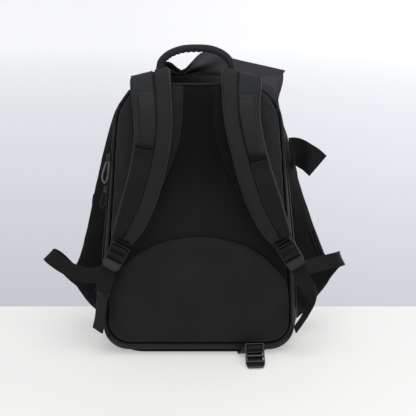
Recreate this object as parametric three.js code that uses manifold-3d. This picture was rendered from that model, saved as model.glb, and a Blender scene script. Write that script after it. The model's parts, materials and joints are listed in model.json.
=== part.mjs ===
// A rucksack standing on its base: a zipped rear compartment with a padded back, two shoulder straps and a
// grab handle, and a draped cloth front compartment that is open at the top.
// Millimetres, +Z up. The padded back faces -Y, and the origin is on the underside of the base.

import * as THREE from 'three';
import { mergeVertices } from 'three/addons/utils/BufferGeometryUtils.js';
import Module from 'manifold-3d';

const wasm = await Module();
wasm.setup();

// Driving dimensions
const GAP = 0.3; // clearance between pieces that touch
const CLOTH = 2; // wall of the cloth
const WEBBING_WIDTH = 25;
const WEBBING_THICK = 1.5;
const STRAP_THICK = 9; // padded shoulder strap
const PAD_HEIGHT = 8; // raised pads of the back
const PAD_INSET = 2.5; // pads stop this far inside the edge of the back panel
const PAD_BEVEL = 3;
const PANEL_BEVEL = 2;
const PIPING_RADIUS = 2;
const PIPING_STAND = 0.5; // between the back panel's edge and its piping
const PIPING_SIDES = 6;

// Depth planes of the rear compartment, from the wearer's side forwards
const BACK_FACE_Y = -82;
const REAR_RIM_Y = -74;
const BEND_Y = -67; // where the gusset's lower edge reaches the base
const FRONT_RIM_Y = -8;
const DIVIDER_FRONT_Y = FRONT_RIM_Y + GAP + CLOTH;
const DRAPE_Y = DIVIDER_FRONT_Y + 2 * GAP; // where the front compartment is sewn on

// Outlines seen from the back: half widths at the foot, the waist and the head, heights and corner radii
const BACK_OUTLINE = {
  footHalf: 152, waistHalf: 143.5, headHalf: 124, footZ: 20, waistZ: 190, headZ: 442,
  footRadius: 36, headRadius: 60,
};
const RIM_OUTLINE = {
  footHalf: 170, waistHalf: 163, headHalf: 131, footZ: 3.5, waistZ: 160, headZ: 428,
  footRadius: 48, headRadius: 66,
};
const DIVIDER_OUTLINE = { ...RIM_OUTLINE, headHalf: 132, headZ: 456, headRadius: 70 };
const BEND_SHARE = 0.4; // how much of the gusset's flare is reached at its bend
const WAIST_RADIUS = 260;
const CORNER_STEPS = 7;
const WAIST_STEPS = 2;
const STRAIGHT_STEPS = 4;

const BASE = { halfWidth: 124, rearY: BEND_Y, frontY: 76, radius: 34, thick: 3 };

// The sunken channel of the back: half width at each height
const CHANNEL = [
  { z: 436, half: 21 },
  { z: 406, half: 22.5 },
  { z: 366, half: 26 },
  { z: 330, half: 36 },
  { z: 280, half: 57 },
  { z: 246, half: 77 },
  { z: 217, half: 96 },
  { z: 170, half: 129 },
];
const CHANNEL_STEPS = 18;

// The lumbar pad: an elliptical arch over straight sides
const ARC_DIVISIONS = 9;
const LUMBAR = { half: 146, archZ: 100, archRise: 103, footZ: 22.5, footRadius: 34 };

// The draped front: how far it reaches left, right and forward at each height, and how deep its folds are
const DRAPE = [
  { z: 3.4, left: 124, right: 124, front: 74, fold: 0 },
  { z: 25, left: 156, right: 164, front: 90, fold: 1 },
  { z: 45, left: 180, right: 184, front: 101, fold: 2 },
  { z: 70, left: 206, right: 206, front: 109, fold: 4 },
  { z: 94, left: 224, right: 229, front: 113, fold: 5 },
  { z: 114, left: 218, right: 238, front: 114, fold: 6 },
  { z: 142, left: 206, right: 222, front: 112, fold: 6 },
  { z: 185, left: 194, right: 202, front: 106, fold: 6 },
  { z: 254, left: 179, right: 174, front: 94, fold: 6 },
  { z: 323, left: 162, right: 156, front: 82, fold: 6 },
  { z: 372, left: 148, right: 142, front: 73, fold: 5 },
  { z: 408, left: 134, right: 135, front: 66, fold: 5 },
  { z: 430, left: 118, right: 138, front: 61, fold: 4 },
  { z: 452, left: 106, right: 138, front: 56, fold: 3 },
];
const WING_Y = 40; // depth of the folded side edges of the drape
// Points between the seam, the side edge and the front middle, as shares of the way outwards and forwards
const WING_BACK = { out: 0.8, forward: 0.55 };
const WING_FRONT = { out: 0.8, forward: 0.55 };
const FRONT_SIDE = { out: 0.42, forward: 0.92 };
const DRAPE_STEPS = 30;
const FOLD_COUNT = 5;

// The hood: the raised front lip of the mouth, with a notch left of its middle. Share of the way round the
// rim, and where its upper edge is
const HOOD = [
  { share: 0.33, x: -66, y: 54, z: 468 },
  { share: 0.38, x: -50, y: 57, z: 471 },
  { share: 0.435, x: -29, y: 56, z: 457 },
  { share: 0.49, x: 7, y: 60, z: 487 },
  { share: 0.57, x: 42, y: 62, z: 480 },
  { share: 0.65, x: 76, y: 58, z: 472 },
  { share: 0.73, x: 112, y: 50, z: 464.5 },
  { share: 0.79, x: 145, y: 41, z: 457.5 },
];
const HOOD_ROWS = 3;
const HOOD_STEPS = 18;
const HOOD_CLOTH = 2.4;
const HOOD_FOLD = 4; // depth of the folds in its lip

// The shoulder straps, from their sewn ends on the gusset over the top and down the back
const STRAP_LEFT = [
  { x: -75, y: -52, z: 437.1, width: 60, roll: 9 },
  { x: -75, y: -61, z: 453, width: 61, roll: 13 },
  { x: -75, y: -73, z: 458, width: 62, roll: 14 },
  { x: -74.5, y: -87, z: 453.5, width: 62, roll: 10 },
  { x: -73.5, y: -99, z: 441, width: 61, roll: 6 },
  { x: -71, y: -108, z: 421, width: 59, roll: 3 },
  { x: -69, y: -117, z: 387, width: 57, roll: 0 },
  { x: -72, y: -124, z: 348, width: 54, roll: 0 },
  { x: -80, y: -128, z: 309, width: 53, roll: 0 },
  { x: -92, y: -127, z: 269, width: 52, roll: 0 },
  { x: -107, y: -120, z: 229, width: 46, roll: 0 },
  { x: -121, y: -113, z: 203, width: 35, roll: 0 },
];
const STRAP_RIGHT = [
  { x: 67.5, y: -52, z: 437.9, width: 60, roll: -9 },
  { x: 67.5, y: -61, z: 453, width: 61, roll: -13 },
  { x: 67.5, y: -73, z: 458, width: 62, roll: -13 },
  { x: 67.5, y: -87, z: 453.5, width: 62, roll: -10 },
  { x: 67, y: -99, z: 441, width: 60, roll: -6 },
  { x: 66.5, y: -108, z: 421, width: 57, roll: -3 },
  { x: 69, y: -117, z: 387, width: 54, roll: 0 },
  { x: 77.5, y: -124, z: 348, width: 52, roll: 0 },
  { x: 88, y: -128, z: 309, width: 53, roll: 0 },
  { x: 101.5, y: -127, z: 269, width: 53, roll: 0 },
  { x: 117.5, y: -120, z: 229, width: 46, roll: 0 },
  { x: 131, y: -113, z: 203, width: 35, roll: 0 },
];
const STRAP_STATIONS = 45;
const STRAP_TAPER_FROM = 40; // the padding thins from this station to the strap's end
const STRAP_END_THICK = 4;
const STRAP_SOFT_EDGE = 3; // how far in from its edge the strap reaches full thickness
// Pieces sewn along a strap: the first and last station that each one covers
const BAND = { from: 4, to: 40, width: 21, thick: 1.5, edge: 1.5 };
const STRAP_WEBBING = { width: 23, thick: 1.5, edge: 9, bulge: 3 };
const STRAP_COVER = { width: 33, thick: 1.5, edge: 1.5 };

// The ladder lock: bars and slots along its length, measured from its middle
const LOCK = {
  width: 31, slotWidth: 26.2, thick: 4, cornerRadius: 2.5,
  head: 21.5, slots: [[15.3, 19.3], [8, 11.5], [2.4, 6], [-7, -1.4]], foot: -13,
};
// The side view of its lever lip: along the lock and out from its face
const LOCK_LIP = [
  { along: -11, out: -2 },
  { along: -16, out: -1 },
  { along: -20, out: 2.5 },
  { along: -21.5, out: 7 },
  { along: -18.5, out: 7.4 },
  { along: -16.6, out: 4.4 },
  { along: -13.5, out: 2 },
  { along: -11, out: 2 },
];
// How webbing runs through the lock: up behind it, over the grip bar and down again behind the foot bar
const THREADING = [
  { along: -15, out: -8 },
  { along: -2, out: -7 },
  { along: 2.6, out: -5.4 },
  { along: 4.2, out: -2.6 },
  { along: 4.2, out: 1.4 },
  { along: 3, out: 3.6 },
  { along: 0.5, out: 4 },
  { along: -2.4, out: 2.8 },
  { along: -4.2, out: 0 },
  { along: -6, out: -3 },
  { along: -9.5, out: -4 },
  { along: -15, out: -4 },
];
// The loop that holds the lock: from the strap's end behind the head rim, over the next bar and back
const HEAD_LOOP = [
  { along: 28.4, out: 2.6 },
  { along: 26, out: 1 },
  { along: 23.8, out: -1.6 },
  { along: 22, out: -3.2 },
  { along: 20.2, out: -3.5 },
  { along: 18.4, out: -2.4 },
  { along: 17.1, out: 0.6 },
  { along: 16, out: 3 },
  { along: 13.4, out: 3.7 },
  { along: 11.2, out: 3.2 },
  { along: 9.8, out: 1.2 },
  { along: 9.7, out: -1.4 },
  { along: 10.8, out: -3.5 },
  { along: 13.4, out: -4.3 },
  { along: 21, out: -5.9 },
  { along: 32, out: -2.4 },
  { along: 40, out: -0.4 },
];

// What differs between the sides: the lock's place, the stations that the strips on the strap cover, the
// slack loop of webbing from the side seam, and its hanging tail; ax, ay and az point across the webbing
const LEFT_SIDE = {
  middle: { x: -131.5, y: -110, z: 175 }, leanX: 0.47,
  webbingSpan: { from: 18, to: 28 }, coverSpan: { from: 29, to: 40 },
  loop: [
    { x: -167.6, y: -15, z: 92, ax: 0, ay: 0, az: -1 },
    { x: -179, y: -17, z: 95, ax: 0, ay: 0, az: -1 },
    { x: -206, y: -28, z: 119, ax: -0.2, ay: 0, az: -1 },
    { x: -236, y: -44, z: 156, ax: -0.6, ay: 0, az: -0.8 },
    { x: -246, y: -56, z: 165, ax: -0.7, ay: 0, az: -0.7 },
    { x: -237, y: -68, z: 160, ax: -0.6, ay: 0, az: -0.8 },
    { x: -215, y: -75, z: 147, ax: -0.3, ay: 0, az: -1 },
    { x: -188, y: -84, z: 138, ax: 0, ay: 0, az: -1 },
    { x: -163, y: -95, z: 140, ax: 0.2, ay: 0, az: -1 },
    { x: -147, y: -101.5, z: 149, ax: 0.65, ay: 0, az: -0.75 },
  ],
  tail: [
    { x: -144, y: -107, z: 148, ax: 0.9, ay: 0, az: -0.44 },
    { x: -149, y: -107, z: 133, ax: 0.94, ay: 0, az: -0.3 },
    { x: -153, y: -104.5, z: 118, ax: 1, ay: 0, az: -0.12 },
    { x: -155, y: -102, z: 107, ax: 0.75, ay: -0.62, az: -0.12 },
    { x: -157, y: -100, z: 88, ax: 0.7, ay: -0.65, az: -0.2 },
    { x: -160, y: -98, z: 66, ax: 0.66, ay: -0.66, az: -0.3 },
    { x: -164.5, y: -97, z: 47, ax: 0.62, ay: -0.65, az: -0.45 },
  ],
};
const RIGHT_SIDE = {
  middle: { x: 147, y: -110, z: 177 }, leanX: -0.52,
  webbingSpan: { from: 19, to: 30 }, coverSpan: { from: 31, to: 40 },
  loop: [
    { x: 167.9, y: -15, z: 86, ax: 0, ay: 0, az: 1 },
    { x: 179, y: -17, z: 89, ax: 0, ay: 0, az: 1 },
    { x: 203, y: -28, z: 115, ax: -0.2, ay: 0, az: 1 },
    { x: 226, y: -44, z: 150, ax: -0.4, ay: 0, az: 0.9 },
    { x: 235, y: -56, z: 158, ax: -0.42, ay: 0, az: 0.9 },
    { x: 227, y: -68, z: 159, ax: -0.3, ay: 0, az: 0.95 },
    { x: 210, y: -75, z: 157, ax: -0.1, ay: 0, az: 1 },
    { x: 192, y: -85, z: 155, ax: 0, ay: 0, az: 1 },
    { x: 174, y: -95, z: 153, ax: 0.2, ay: 0, az: 1 },
    { x: 162, y: -101.5, z: 155, ax: 0.6, ay: 0, az: 0.8 },
  ],
  tail: [
    { x: 161.5, y: -107, z: 151, ax: 0.86, ay: 0, az: 0.5 },
    { x: 168, y: -107, z: 136, ax: 0.9, ay: 0, az: 0.4 },
    { x: 177, y: -104, z: 117, ax: 0.9, ay: -0.3, az: 0.3 },
    { x: 179, y: -100, z: 101, ax: 0.6, ay: -0.75, az: 0.2 },
    { x: 176.5, y: -97, z: 84, ax: 0.25, ay: -0.95, az: 0 },
    { x: 169, y: -95, z: 66, ax: 0.1, ay: -1, az: 0 },
    { x: 157, y: -94, z: 47, ax: 0.1, ay: -1, az: 0 },
  ],
};

// The spare lock that leans on the floor in front of the base, and the strip that holds it
const FLOOR_LOCK = {
  middle: { x: 90.5, y: -130, z: 15.2 },
  up: { x: -0.04, y: 0.6, z: 0.79 },
  out: { x: 0, y: -0.8, z: 0.6 },
  strip: [
    { x: 76, y: -69.7, z: 1.5, ax: 1, ay: 0, az: 0 },
    { x: 77.5, y: -80, z: 2, ax: 1, ay: 0, az: 0 },
    { x: 81, y: -93, z: 10, ax: 1, ay: 0.1, az: 0 },
    { x: 86, y: -105, z: 22, ax: 1, ay: 0.1, az: 0 },
  ],
};
// Up from behind, over the bar below its head rim, and down behind the others
const FLOOR_LOOP = [
  { along: 18.2, out: -8 },
  { along: 17.3, out: -3 },
  { along: 17.1, out: 0.6 },
  { along: 16, out: 3 },
  { along: 13.4, out: 3.7 },
  { along: 11.2, out: 3.2 },
  { along: 9.8, out: 1.2 },
  { along: 9.7, out: -1.4 },
  { along: 8.6, out: -3.3 },
  { along: -6.5, out: -3.8 },
];

// The grab handle's middle line, foot to foot
const HANDLE_RADIUS = 6;
const HANDLE_SIDES = 10;
const HANDLE_STEPS = 16;
const HANDLE_PATH = [
  { x: -60, y: -64, z: 470.6 },
  { x: -58, y: -63.5, z: 478.5 },
  { x: -47, y: -62, z: 489.5 },
  { x: -27, y: -61, z: 497.5 },
  { x: -3, y: -60, z: 499.5 },
  { x: 21, y: -60.5, z: 497.5 },
  { x: 39.5, y: -61.5, z: 489.5 },
  { x: 50, y: -63, z: 478.5 },
  { x: 52, y: -64, z: 470 },
];

// The zip round the gusset, its two sliders and their cord pulls
const ZIP = { y: -34, tapeHalf: 10, tapeThick: 0.8, coilHalf: 3, coilThick: 2.2, endZ: 62 };
const SLIDER = { length: 12, width: 9, thick: 4.5, corner: 2.5 };
const UPPER_SLIDER_Z = 322;
const LOWER_SLIDER_Z = 269;
const PULL_RADIUS = 1.5;
const PULL_SIDES = 8;
const PULL_STEPS = 13;
// Each pull is a cord loop, from below its slider down, round and up again; stand is its distance off the zip
const UPPER_PULL = [
  { stand: 4.7, y: -2, z: -0.5 },
  { stand: 3.8, y: -6, z: -13 },
  { stand: 4, y: -7, z: -27 },
  { stand: 8.2, y: -7, z: -35 },
  { stand: 12.4, y: -7, z: -28 },
  { stand: 11.6, y: -5, z: -14 },
  { stand: 8.2, y: -2, z: -0.5 },
];
const LOWER_PULL = [
  { stand: 4.7, y: -2, z: -0.5 },
  { stand: 3.9, y: -5.5, z: -9 },
  { stand: 4, y: -6, z: -18 },
  { stand: 7.6, y: -6, z: -25 },
  { stand: 11.2, y: -6, z: -18 },
  { stand: 10.8, y: -4, z: -9 },
  { stand: 8.2, y: -2, z: -0.5 },
];

// The folded closing tab on the right of the drape; its root lies on the cloth
const TAB_WIDTH = 45;
const TAB_THICK = 2;
const TAB = [
  { x: 153.5, y: 8, z: 326, ax: -0.25, ay: 0, az: 0.97 },
  { x: 161.2, y: 19, z: 325, ax: -0.29, ay: 0, az: 0.96 },
  { x: 169.5, y: 23, z: 321.5, ax: -0.08, ay: 0, az: 1 },
  { x: 178, y: 25, z: 316, ax: 0.4, ay: 0, az: 0.92 },
  { x: 188, y: 18, z: 310.5, ax: 0.5, ay: 0, az: 0.86 },
  { x: 200, y: 10, z: 300.5, ax: 0.58, ay: 0, az: 0.81 },
];

// Colours of the cloth, webbing and plastic, all near black
const canvas = new THREE.MeshStandardMaterial({ color: 0x1b1d20, roughness: 0.86, metalness: 0 });
const lightCloth = new THREE.MeshStandardMaterial({ color: 0x23262a, roughness: 0.82, metalness: 0 });
const drapeCloth = new THREE.MeshStandardMaterial({ color: 0x121315, roughness: 0.88, metalness: 0 });
const webbing = new THREE.MeshStandardMaterial({ color: 0x16181a, roughness: 0.6, metalness: 0 });
const plastic = new THREE.MeshStandardMaterial({ color: 0x101112, roughness: 0.35, metalness: 0 });
const zipMaterial = new THREE.MeshStandardMaterial({ color: 0x0f1011, roughness: 0.5, metalness: 0 });
const cordMaterial = new THREE.MeshStandardMaterial({ color: 0x3a3d40, roughness: 0.8, metalness: 0 });

const rucksack = new THREE.Group();

function addPiece(name, geometry, material) {
  const mesh = new THREE.Mesh(geometry, material);
  mesh.name = name;
  rucksack.add(mesh);
  return mesh;
}

function vector(row) {
  return new THREE.Vector3(row.x, row.y, row.z);
}

// A closed body through sections of equal point counts; an open run of sections gets a flat cap at each end.
function loft(sections, closed) {
  const count = sections[0].length;
  const positions = sections.flat().flatMap((point) => point.toArray());
  const faces = [];
  const spans = closed ? sections.length : sections.length - 1;
  for (let span = 0; span < spans; span += 1) {
    const next = (span + 1) % sections.length;
    for (let side = 0; side < count; side += 1) {
      const other = (side + 1) % count;
      const a = span * count + side;
      const b = span * count + other;
      const c = next * count + other;
      const d = next * count + side;
      faces.push(a, b, c, a, c, d);
    }
  }
  if (!closed) {
    const last = (sections.length - 1) * count;
    for (const [a, b, c] of capTriangles(sections[0])) {
      faces.push(a, c, b);
    }
    for (const [a, b, c] of capTriangles(sections.at(-1))) {
      faces.push(last + a, last + b, last + c);
    }
  }
  return solidGeometry(positions, faces);
}

// Triangles that fill a flat section, in the section's own order of points.
function capTriangles(section) {
  const sum = section.reduce((total, point) => total.add(point), new THREE.Vector3());
  const middle = sum.divideScalar(section.length);
  const normal = new THREE.Vector3();
  section.forEach((point, index) => {
    const next = section[(index + 1) % section.length];
    normal.add(point.clone().sub(middle).cross(next.clone().sub(middle)));
  });
  normal.normalize();
  const right = section[0].clone().sub(middle).projectOnPlane(normal).normalize();
  const up = normal.clone().cross(right);
  const flat = section.map((point) => {
    const offset = point.clone().sub(middle);
    return new THREE.Vector2(offset.dot(right), offset.dot(up));
  });
  return THREE.ShapeUtils.triangulateShape(flat, []);
}

// An indexed geometry whose faces point outwards.
function solidGeometry(positions, faces) {
  const geometry = new THREE.BufferGeometry();
  geometry.setAttribute('position', new THREE.Float32BufferAttribute(positions, 3));
  const place = geometry.getAttribute('position');
  const corners = [new THREE.Vector3(), new THREE.Vector3(), new THREE.Vector3()];
  let volume = 0;
  for (let face = 0; face < faces.length; face += 3) {
    corners.forEach((corner, index) => corner.fromBufferAttribute(place, faces[face + index]));
    volume += corners[0].dot(corners[1].clone().cross(corners[2]));
  }
  geometry.setIndex(volume > 0 ? faces : faces.slice().reverse());
  geometry.computeVertexNormals();
  return geometry;
}

// A grid of points given thickness on its far side, as one closed sheet.
function thickSheet(grid, thick) {
  const rows = grid.length;
  const columns = grid[0].length;
  const sections = [];
  const below = grid.map((line, row) => line.map((point, column) => {
    const toRight = grid[row][Math.min(column + 1, columns - 1)];
    const toLeft = grid[row][Math.max(column - 1, 0)];
    const above = grid[Math.min(row + 1, rows - 1)][column];
    const under = grid[Math.max(row - 1, 0)][column];
    const alongRow = toRight.clone().sub(toLeft);
    const alongColumn = above.clone().sub(under);
    return point.clone().addScaledVector(alongRow.cross(alongColumn).normalize(), thick);
  }));
  for (let column = 0; column < columns; column += 1) {
    const outer = grid.map((line) => line[column]);
    const inner = below.map((line) => line[column]).reverse();
    sections.push([...outer, ...inner]);
  }
  return loft(sections, false);
}

// Corner points rounded by arcs, with the straight stretches between them cut in equal lengths.
// Each corner has a place, a radius and a number of steps.
function roundedOutline(corners, straightSteps = 1) {
  const arcs = corners.map((corner, index) => {
    const before = corners.at(index - 1);
    const after = corners[(index + 1) % corners.length];
    const here = new THREE.Vector2(corner.x, corner.z);
    const toBefore = new THREE.Vector2(before.x, before.z).sub(here).normalize();
    const toAfter = new THREE.Vector2(after.x, after.z).sub(here).normalize();
    const half = toBefore.angleTo(toAfter) / 2;
    const middle = toBefore.clone().add(toAfter).setLength(corner.radius / Math.sin(half)).add(here);
    const from = toBefore.clone().multiplyScalar(corner.radius / Math.tan(half)).add(here).sub(middle);
    const sweep = Math.sign(toAfter.cross(toBefore)) * (Math.PI - 2 * half);
    return Array.from({ length: corner.steps + 1 }, (_, step) =>
      from.clone().rotateAround(new THREE.Vector2(), (sweep * step) / corner.steps).add(middle));
  });
  return arcs.flatMap((arc, index) => {
    const next = arcs[(index + 1) % arcs.length][0];
    const straight = Array.from({ length: straightSteps - 1 }, (_, step) =>
      arc.at(-1).clone().lerp(next, (step + 1) / straightSteps));
    return [...arc, ...straight];
  });
}

// The direction that points out of an outline at one of its points.
function outwardsAt(outline, index) {
  const here = outline.at(index % outline.length);
  const arriving = here.clone().sub(outline.at((index - 1) % outline.length)).normalize();
  const leaving = outline.at((index + 1) % outline.length).clone().sub(here).normalize();
  return arriving.add(leaving).normalize().rotateAround(new THREE.Vector2(), -Math.PI / 2);
}

// The outline of a pack panel, counterclockwise from the right foot, moved inwards by an inset.
function packOutline(size, inset = 0) {
  const right = [
    { x: size.footHalf - inset, z: size.footZ + inset, radius: size.footRadius - inset, steps: CORNER_STEPS },
    { x: size.waistHalf - inset, z: size.waistZ, radius: WAIST_RADIUS, steps: WAIST_STEPS },
    { x: size.headHalf - inset, z: size.headZ - inset, radius: size.headRadius - inset, steps: CORNER_STEPS },
  ];
  const left = right.map((corner) => ({ ...corner, x: -corner.x })).reverse();
  return roundedOutline([...right, ...left], STRAIGHT_STEPS);
}

// Half the width of an outline at one height.
function halfWidthAt(outline, z) {
  const right = outline.filter((point) => point.x > 0).sort((one, other) => one.y - other.y);
  const above = right.findIndex((point) => point.y >= z);
  if (above <= 0) {
    return right.at(above).x;
  }
  const share = (z - right[above - 1].y) / (right[above].y - right[above - 1].y);
  return THREE.MathUtils.lerp(right[above - 1].x, right[above].x, share);
}

// A flat plate of an outline in X and Z, from rearY forwards, with its rims bevelled.
function plate(outline, rearY, thick, bevel = 0) {
  const geometry = new THREE.ExtrudeGeometry(new THREE.Shape(outline), {
    depth: thick - 2 * bevel,
    bevelEnabled: bevel > 0,
    bevelThickness: bevel,
    bevelSize: bevel,
    bevelOffset: -bevel,
    bevelSegments: 2,
    steps: 1,
  });
  return geometry.rotateX(Math.PI / 2).translate(0, rearY + thick - bevel, 0);
}

// A smooth line through rows, with a direction across it at every station.
function ribbonFrames(rows, stepsPerRow) {
  const curve = new THREE.CatmullRomCurve3(rows.map((row) => row.point), false, 'centripetal');
  const stations = (rows.length - 1) * stepsPerRow;
  return Array.from({ length: stations + 1 }, (_, station) => {
    const share = station / stations;
    const row = Math.min(Math.floor(station / stepsPerRow), rows.length - 2);
    const along = curve.getTangent(share);
    const across = rows[row].across.clone().lerp(rows[row + 1].across, station / stepsPerRow - row);
    across.projectOnPlane(along).normalize();
    return { point: curve.getPoint(share), along, across, out: across.clone().cross(along).normalize() };
  });
}

// The body of a ribbon whose section is a list of places across it and out from it.
function ribbon(frames, section) {
  return loft(frames.map((frame, station) => section(frame, station).map(([across, out]) =>
    frame.point.clone().addScaledVector(frame.across, across).addScaledVector(frame.out, out))), false);
}

function flatSection(width, thick) {
  const across = width / 2;
  const out = thick / 2;
  return () => [[-across, -out], [across, -out], [across, out], [-across, out]];
}

function manifoldOf(geometry) {
  const bare = geometry.clone();
  bare.deleteAttribute('normal');
  bare.deleteAttribute('uv');
  const merged = mergeVertices(bare, 1e-4);
  return new wasm.Manifold(new wasm.Mesh({
    numProp: 3,
    vertProperties: new Float32Array(merged.getAttribute('position').array),
    triVerts: new Uint32Array(merged.index.array),
  }));
}

function joined(first, second) {
  const mesh = manifoldOf(first).add(manifoldOf(second)).getMesh();
  return solidGeometry(Array.from(mesh.vertProperties), Array.from(mesh.triVerts));
}

// Back panel, its pads and the piping round its edge
const backOutline = packOutline(BACK_OUTLINE);
const backThick = REAR_RIM_Y - GAP - BACK_FACE_Y;
addPiece('back_panel', plate(backOutline, BACK_FACE_Y, backThick, PANEL_BEVEL), canvas);

function lumbarOutline() {
  const { half, archZ, archRise, footZ, footRadius } = LUMBAR;
  const outline = new THREE.Path();
  const cornerX = half - footRadius;
  const cornerZ = footZ + footRadius;
  outline.absellipse(0, archZ, half, archRise, 0, Math.PI, false);
  outline.absarc(-cornerX, cornerZ, footRadius, Math.PI, 1.5 * Math.PI, false);
  outline.absarc(cornerX, cornerZ, footRadius, 1.5 * Math.PI, 2 * Math.PI, false);
  return outline.getPoints(ARC_DIVISIONS);
}

function sidePadOutline(side) {
  const lowest = CHANNEL.at(-1).z;
  const outer = packOutline(BACK_OUTLINE, PAD_INSET)
    .filter((point) => point.x > CHANNEL[0].half && point.y > lowest);
  const inner = new THREE.SplineCurve(CHANNEL.map((row) => new THREE.Vector2(row.half, row.z)));
  const foot = new THREE.Vector2(halfWidthAt(backOutline, lowest) - PAD_INSET, lowest);
  return [foot, ...outer, ...inner.getPoints(CHANNEL_STEPS)]
    .map((point) => new THREE.Vector2(side * point.x, point.y));
}

const padRearY = BACK_FACE_Y - GAP - PAD_HEIGHT;
addPiece('lumbar_pad', plate(lumbarOutline(), padRearY, PAD_HEIGHT, PAD_BEVEL), canvas);
addPiece('side_pad_left', plate(sidePadOutline(-1), padRearY, PAD_HEIGHT, PAD_BEVEL), canvas);
addPiece('side_pad_right', plate(sidePadOutline(1), padRearY, PAD_HEIGHT, PAD_BEVEL), canvas);

function pipingGeometry() {
  const stand = PIPING_RADIUS + PIPING_STAND;
  const middleY = REAR_RIM_Y - GAP - PIPING_RADIUS;
  const sections = backOutline.map((point, index) => {
    const outwards = outwardsAt(backOutline, index);
    return Array.from({ length: PIPING_SIDES }, (_, side) => {
      const angle = (2 * Math.PI * side) / PIPING_SIDES;
      const reach = stand + PIPING_RADIUS * Math.cos(angle);
      return new THREE.Vector3(
        point.x + outwards.x * reach,
        middleY + PIPING_RADIUS * Math.sin(angle),
        point.y + outwards.y * reach,
      );
    });
  });
  return loft(sections, true);
}
addPiece('panel_piping', pipingGeometry(), webbing);

// Gusset: the wall round the rear compartment, flaring forwards from the back panel to the divider
function bendOutlineSize() {
  const size = {};
  for (const key of Object.keys(BACK_OUTLINE)) {
    size[key] = THREE.MathUtils.lerp(BACK_OUTLINE[key], RIM_OUTLINE[key], BEND_SHARE);
  }
  return { ...size, footZ: RIM_OUTLINE.footZ };
}

const gussetProfile = [
  { size: BACK_OUTLINE, y: REAR_RIM_Y },
  { size: bendOutlineSize(), y: BEND_Y },
  { size: RIM_OUTLINE, y: FRONT_RIM_Y },
];

function gussetGeometry() {
  const outer = gussetProfile.map((station) => ({ y: station.y, outline: packOutline(station.size) }));
  const inner = gussetProfile.map((station) => ({ y: station.y, outline: packOutline(station.size, CLOTH) }));
  const round = [...outer, ...inner.reverse()];
  return loft(backOutline.map((_, index) =>
    round.map(({ y, outline }) => new THREE.Vector3(outline[index].x, y, outline[index].y))), true);
}
addPiece('gusset', gussetGeometry(), lightCloth);

// Divider between the two compartments, and the base that both stand on
const dividerOutline = packOutline(DIVIDER_OUTLINE);
addPiece('divider_panel', plate(dividerOutline, FRONT_RIM_Y + GAP, CLOTH), drapeCloth);

function baseGeometry() {
  const { halfWidth, rearY, frontY, radius, thick } = BASE;
  const outline = roundedOutline([
    { x: halfWidth, z: rearY, radius, steps: CORNER_STEPS },
    { x: halfWidth, z: frontY, radius, steps: CORNER_STEPS },
    { x: -halfWidth, z: frontY, radius, steps: CORNER_STEPS },
    { x: -halfWidth, z: rearY, radius, steps: CORNER_STEPS },
  ]);
  return new THREE.ExtrudeGeometry(new THREE.Shape(outline), { depth: thick, bevelEnabled: false, steps: 1 });
}
addPiece('base_panel', baseGeometry(), canvas);

// Draped front: cloth that leaves the divider's edge, swells to a fold at each side and hangs in front
function drapeSection(row) {
  const seam = halfWidthAt(dividerOutline, row.z) - CLOTH;
  const deep = row.front - WING_Y;
  const side = (reach) => [
    [seam, DRAPE_Y],
    [
      THREE.MathUtils.lerp(seam, reach, WING_BACK.out),
      THREE.MathUtils.lerp(DRAPE_Y, WING_Y, WING_BACK.forward),
    ],
    [reach, WING_Y],
    [reach * WING_FRONT.out, WING_Y + deep * WING_FRONT.forward],
    [reach * FRONT_SIDE.out, WING_Y + deep * FRONT_SIDE.forward],
  ];
  const left = side(row.left).map(([x, y]) => new THREE.Vector3(-x, y, row.z));
  const right = side(row.right).map(([x, y]) => new THREE.Vector3(x, y, row.z)).reverse();
  const front = new THREE.Vector3(0, row.front, row.z);
  const curve = new THREE.CatmullRomCurve3([...left, front, ...right], false, 'centripetal');
  return Array.from({ length: DRAPE_STEPS + 1 }, (_, step) => {
    const share = step / DRAPE_STEPS;
    const point = curve.getPoint(share);
    const ripple = Math.cos(2 * Math.PI * FOLD_COUNT * share) * Math.sin(Math.PI * share) ** 4;
    point.y += row.fold * ripple;
    return point;
  });
}
addPiece('front_shell', thickSheet(DRAPE.map(drapeSection), CLOTH), drapeCloth);

// Hood: the tall lip of the mouth, which stands straight up from the drape's rim and then leans out
function hoodGeometry() {
  const rim = new THREE.CatmullRomCurve3(drapeSection(DRAPE.at(-1)), false, 'centripetal');
  const edge = new THREE.CatmullRomCurve3(HOOD.map(vector), false, 'centripetal');
  const rows = Array.from({ length: HOOD_ROWS + 1 }, (_, row) =>
    Array.from({ length: HOOD_STEPS + 1 }, (_, step) => {
      const share = step / HOOD_STEPS;
      const place = share * (HOOD.length - 1);
      const before = Math.min(Math.floor(place), HOOD.length - 2);
      const round = THREE.MathUtils.lerp(HOOD[before].share, HOOD[before + 1].share, place - before);
      const low = rim.getPoint(round);
      low.z += 3 * GAP;
      const lean = Math.max(0, row - 1) / (HOOD_ROWS - 1);
      const top = edge.getPoint(share);
      const point = low.clone().lerp(top, lean ** 2);
      point.z = THREE.MathUtils.lerp(low.z, top.z, row / HOOD_ROWS);
      point.y += HOOD_FOLD * lean * Math.cos(3 * Math.PI * share);
      return point;
    }));
  return thickSheet(rows, HOOD_CLOTH);
}
addPiece('hood', hoodGeometry(), drapeCloth);

// Closing tab: a doubled cloth strip sewn to the right of the drape and folded back at its end
const ribbonRow = (row) => ({ point: vector(row), across: new THREE.Vector3(row.ax, row.ay, row.az) });
const tabGeometry = ribbon(ribbonFrames(TAB.map(ribbonRow), 2), flatSection(TAB_WIDTH, TAB_THICK));
addPiece('closing_tab', tabGeometry, drapeCloth);

// Zip: tape and coil laid on the gusset, over the top from one low end to the other
const bendOutline = packOutline(bendOutlineSize());
const rimOutline = packOutline(RIM_OUTLINE);

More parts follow.
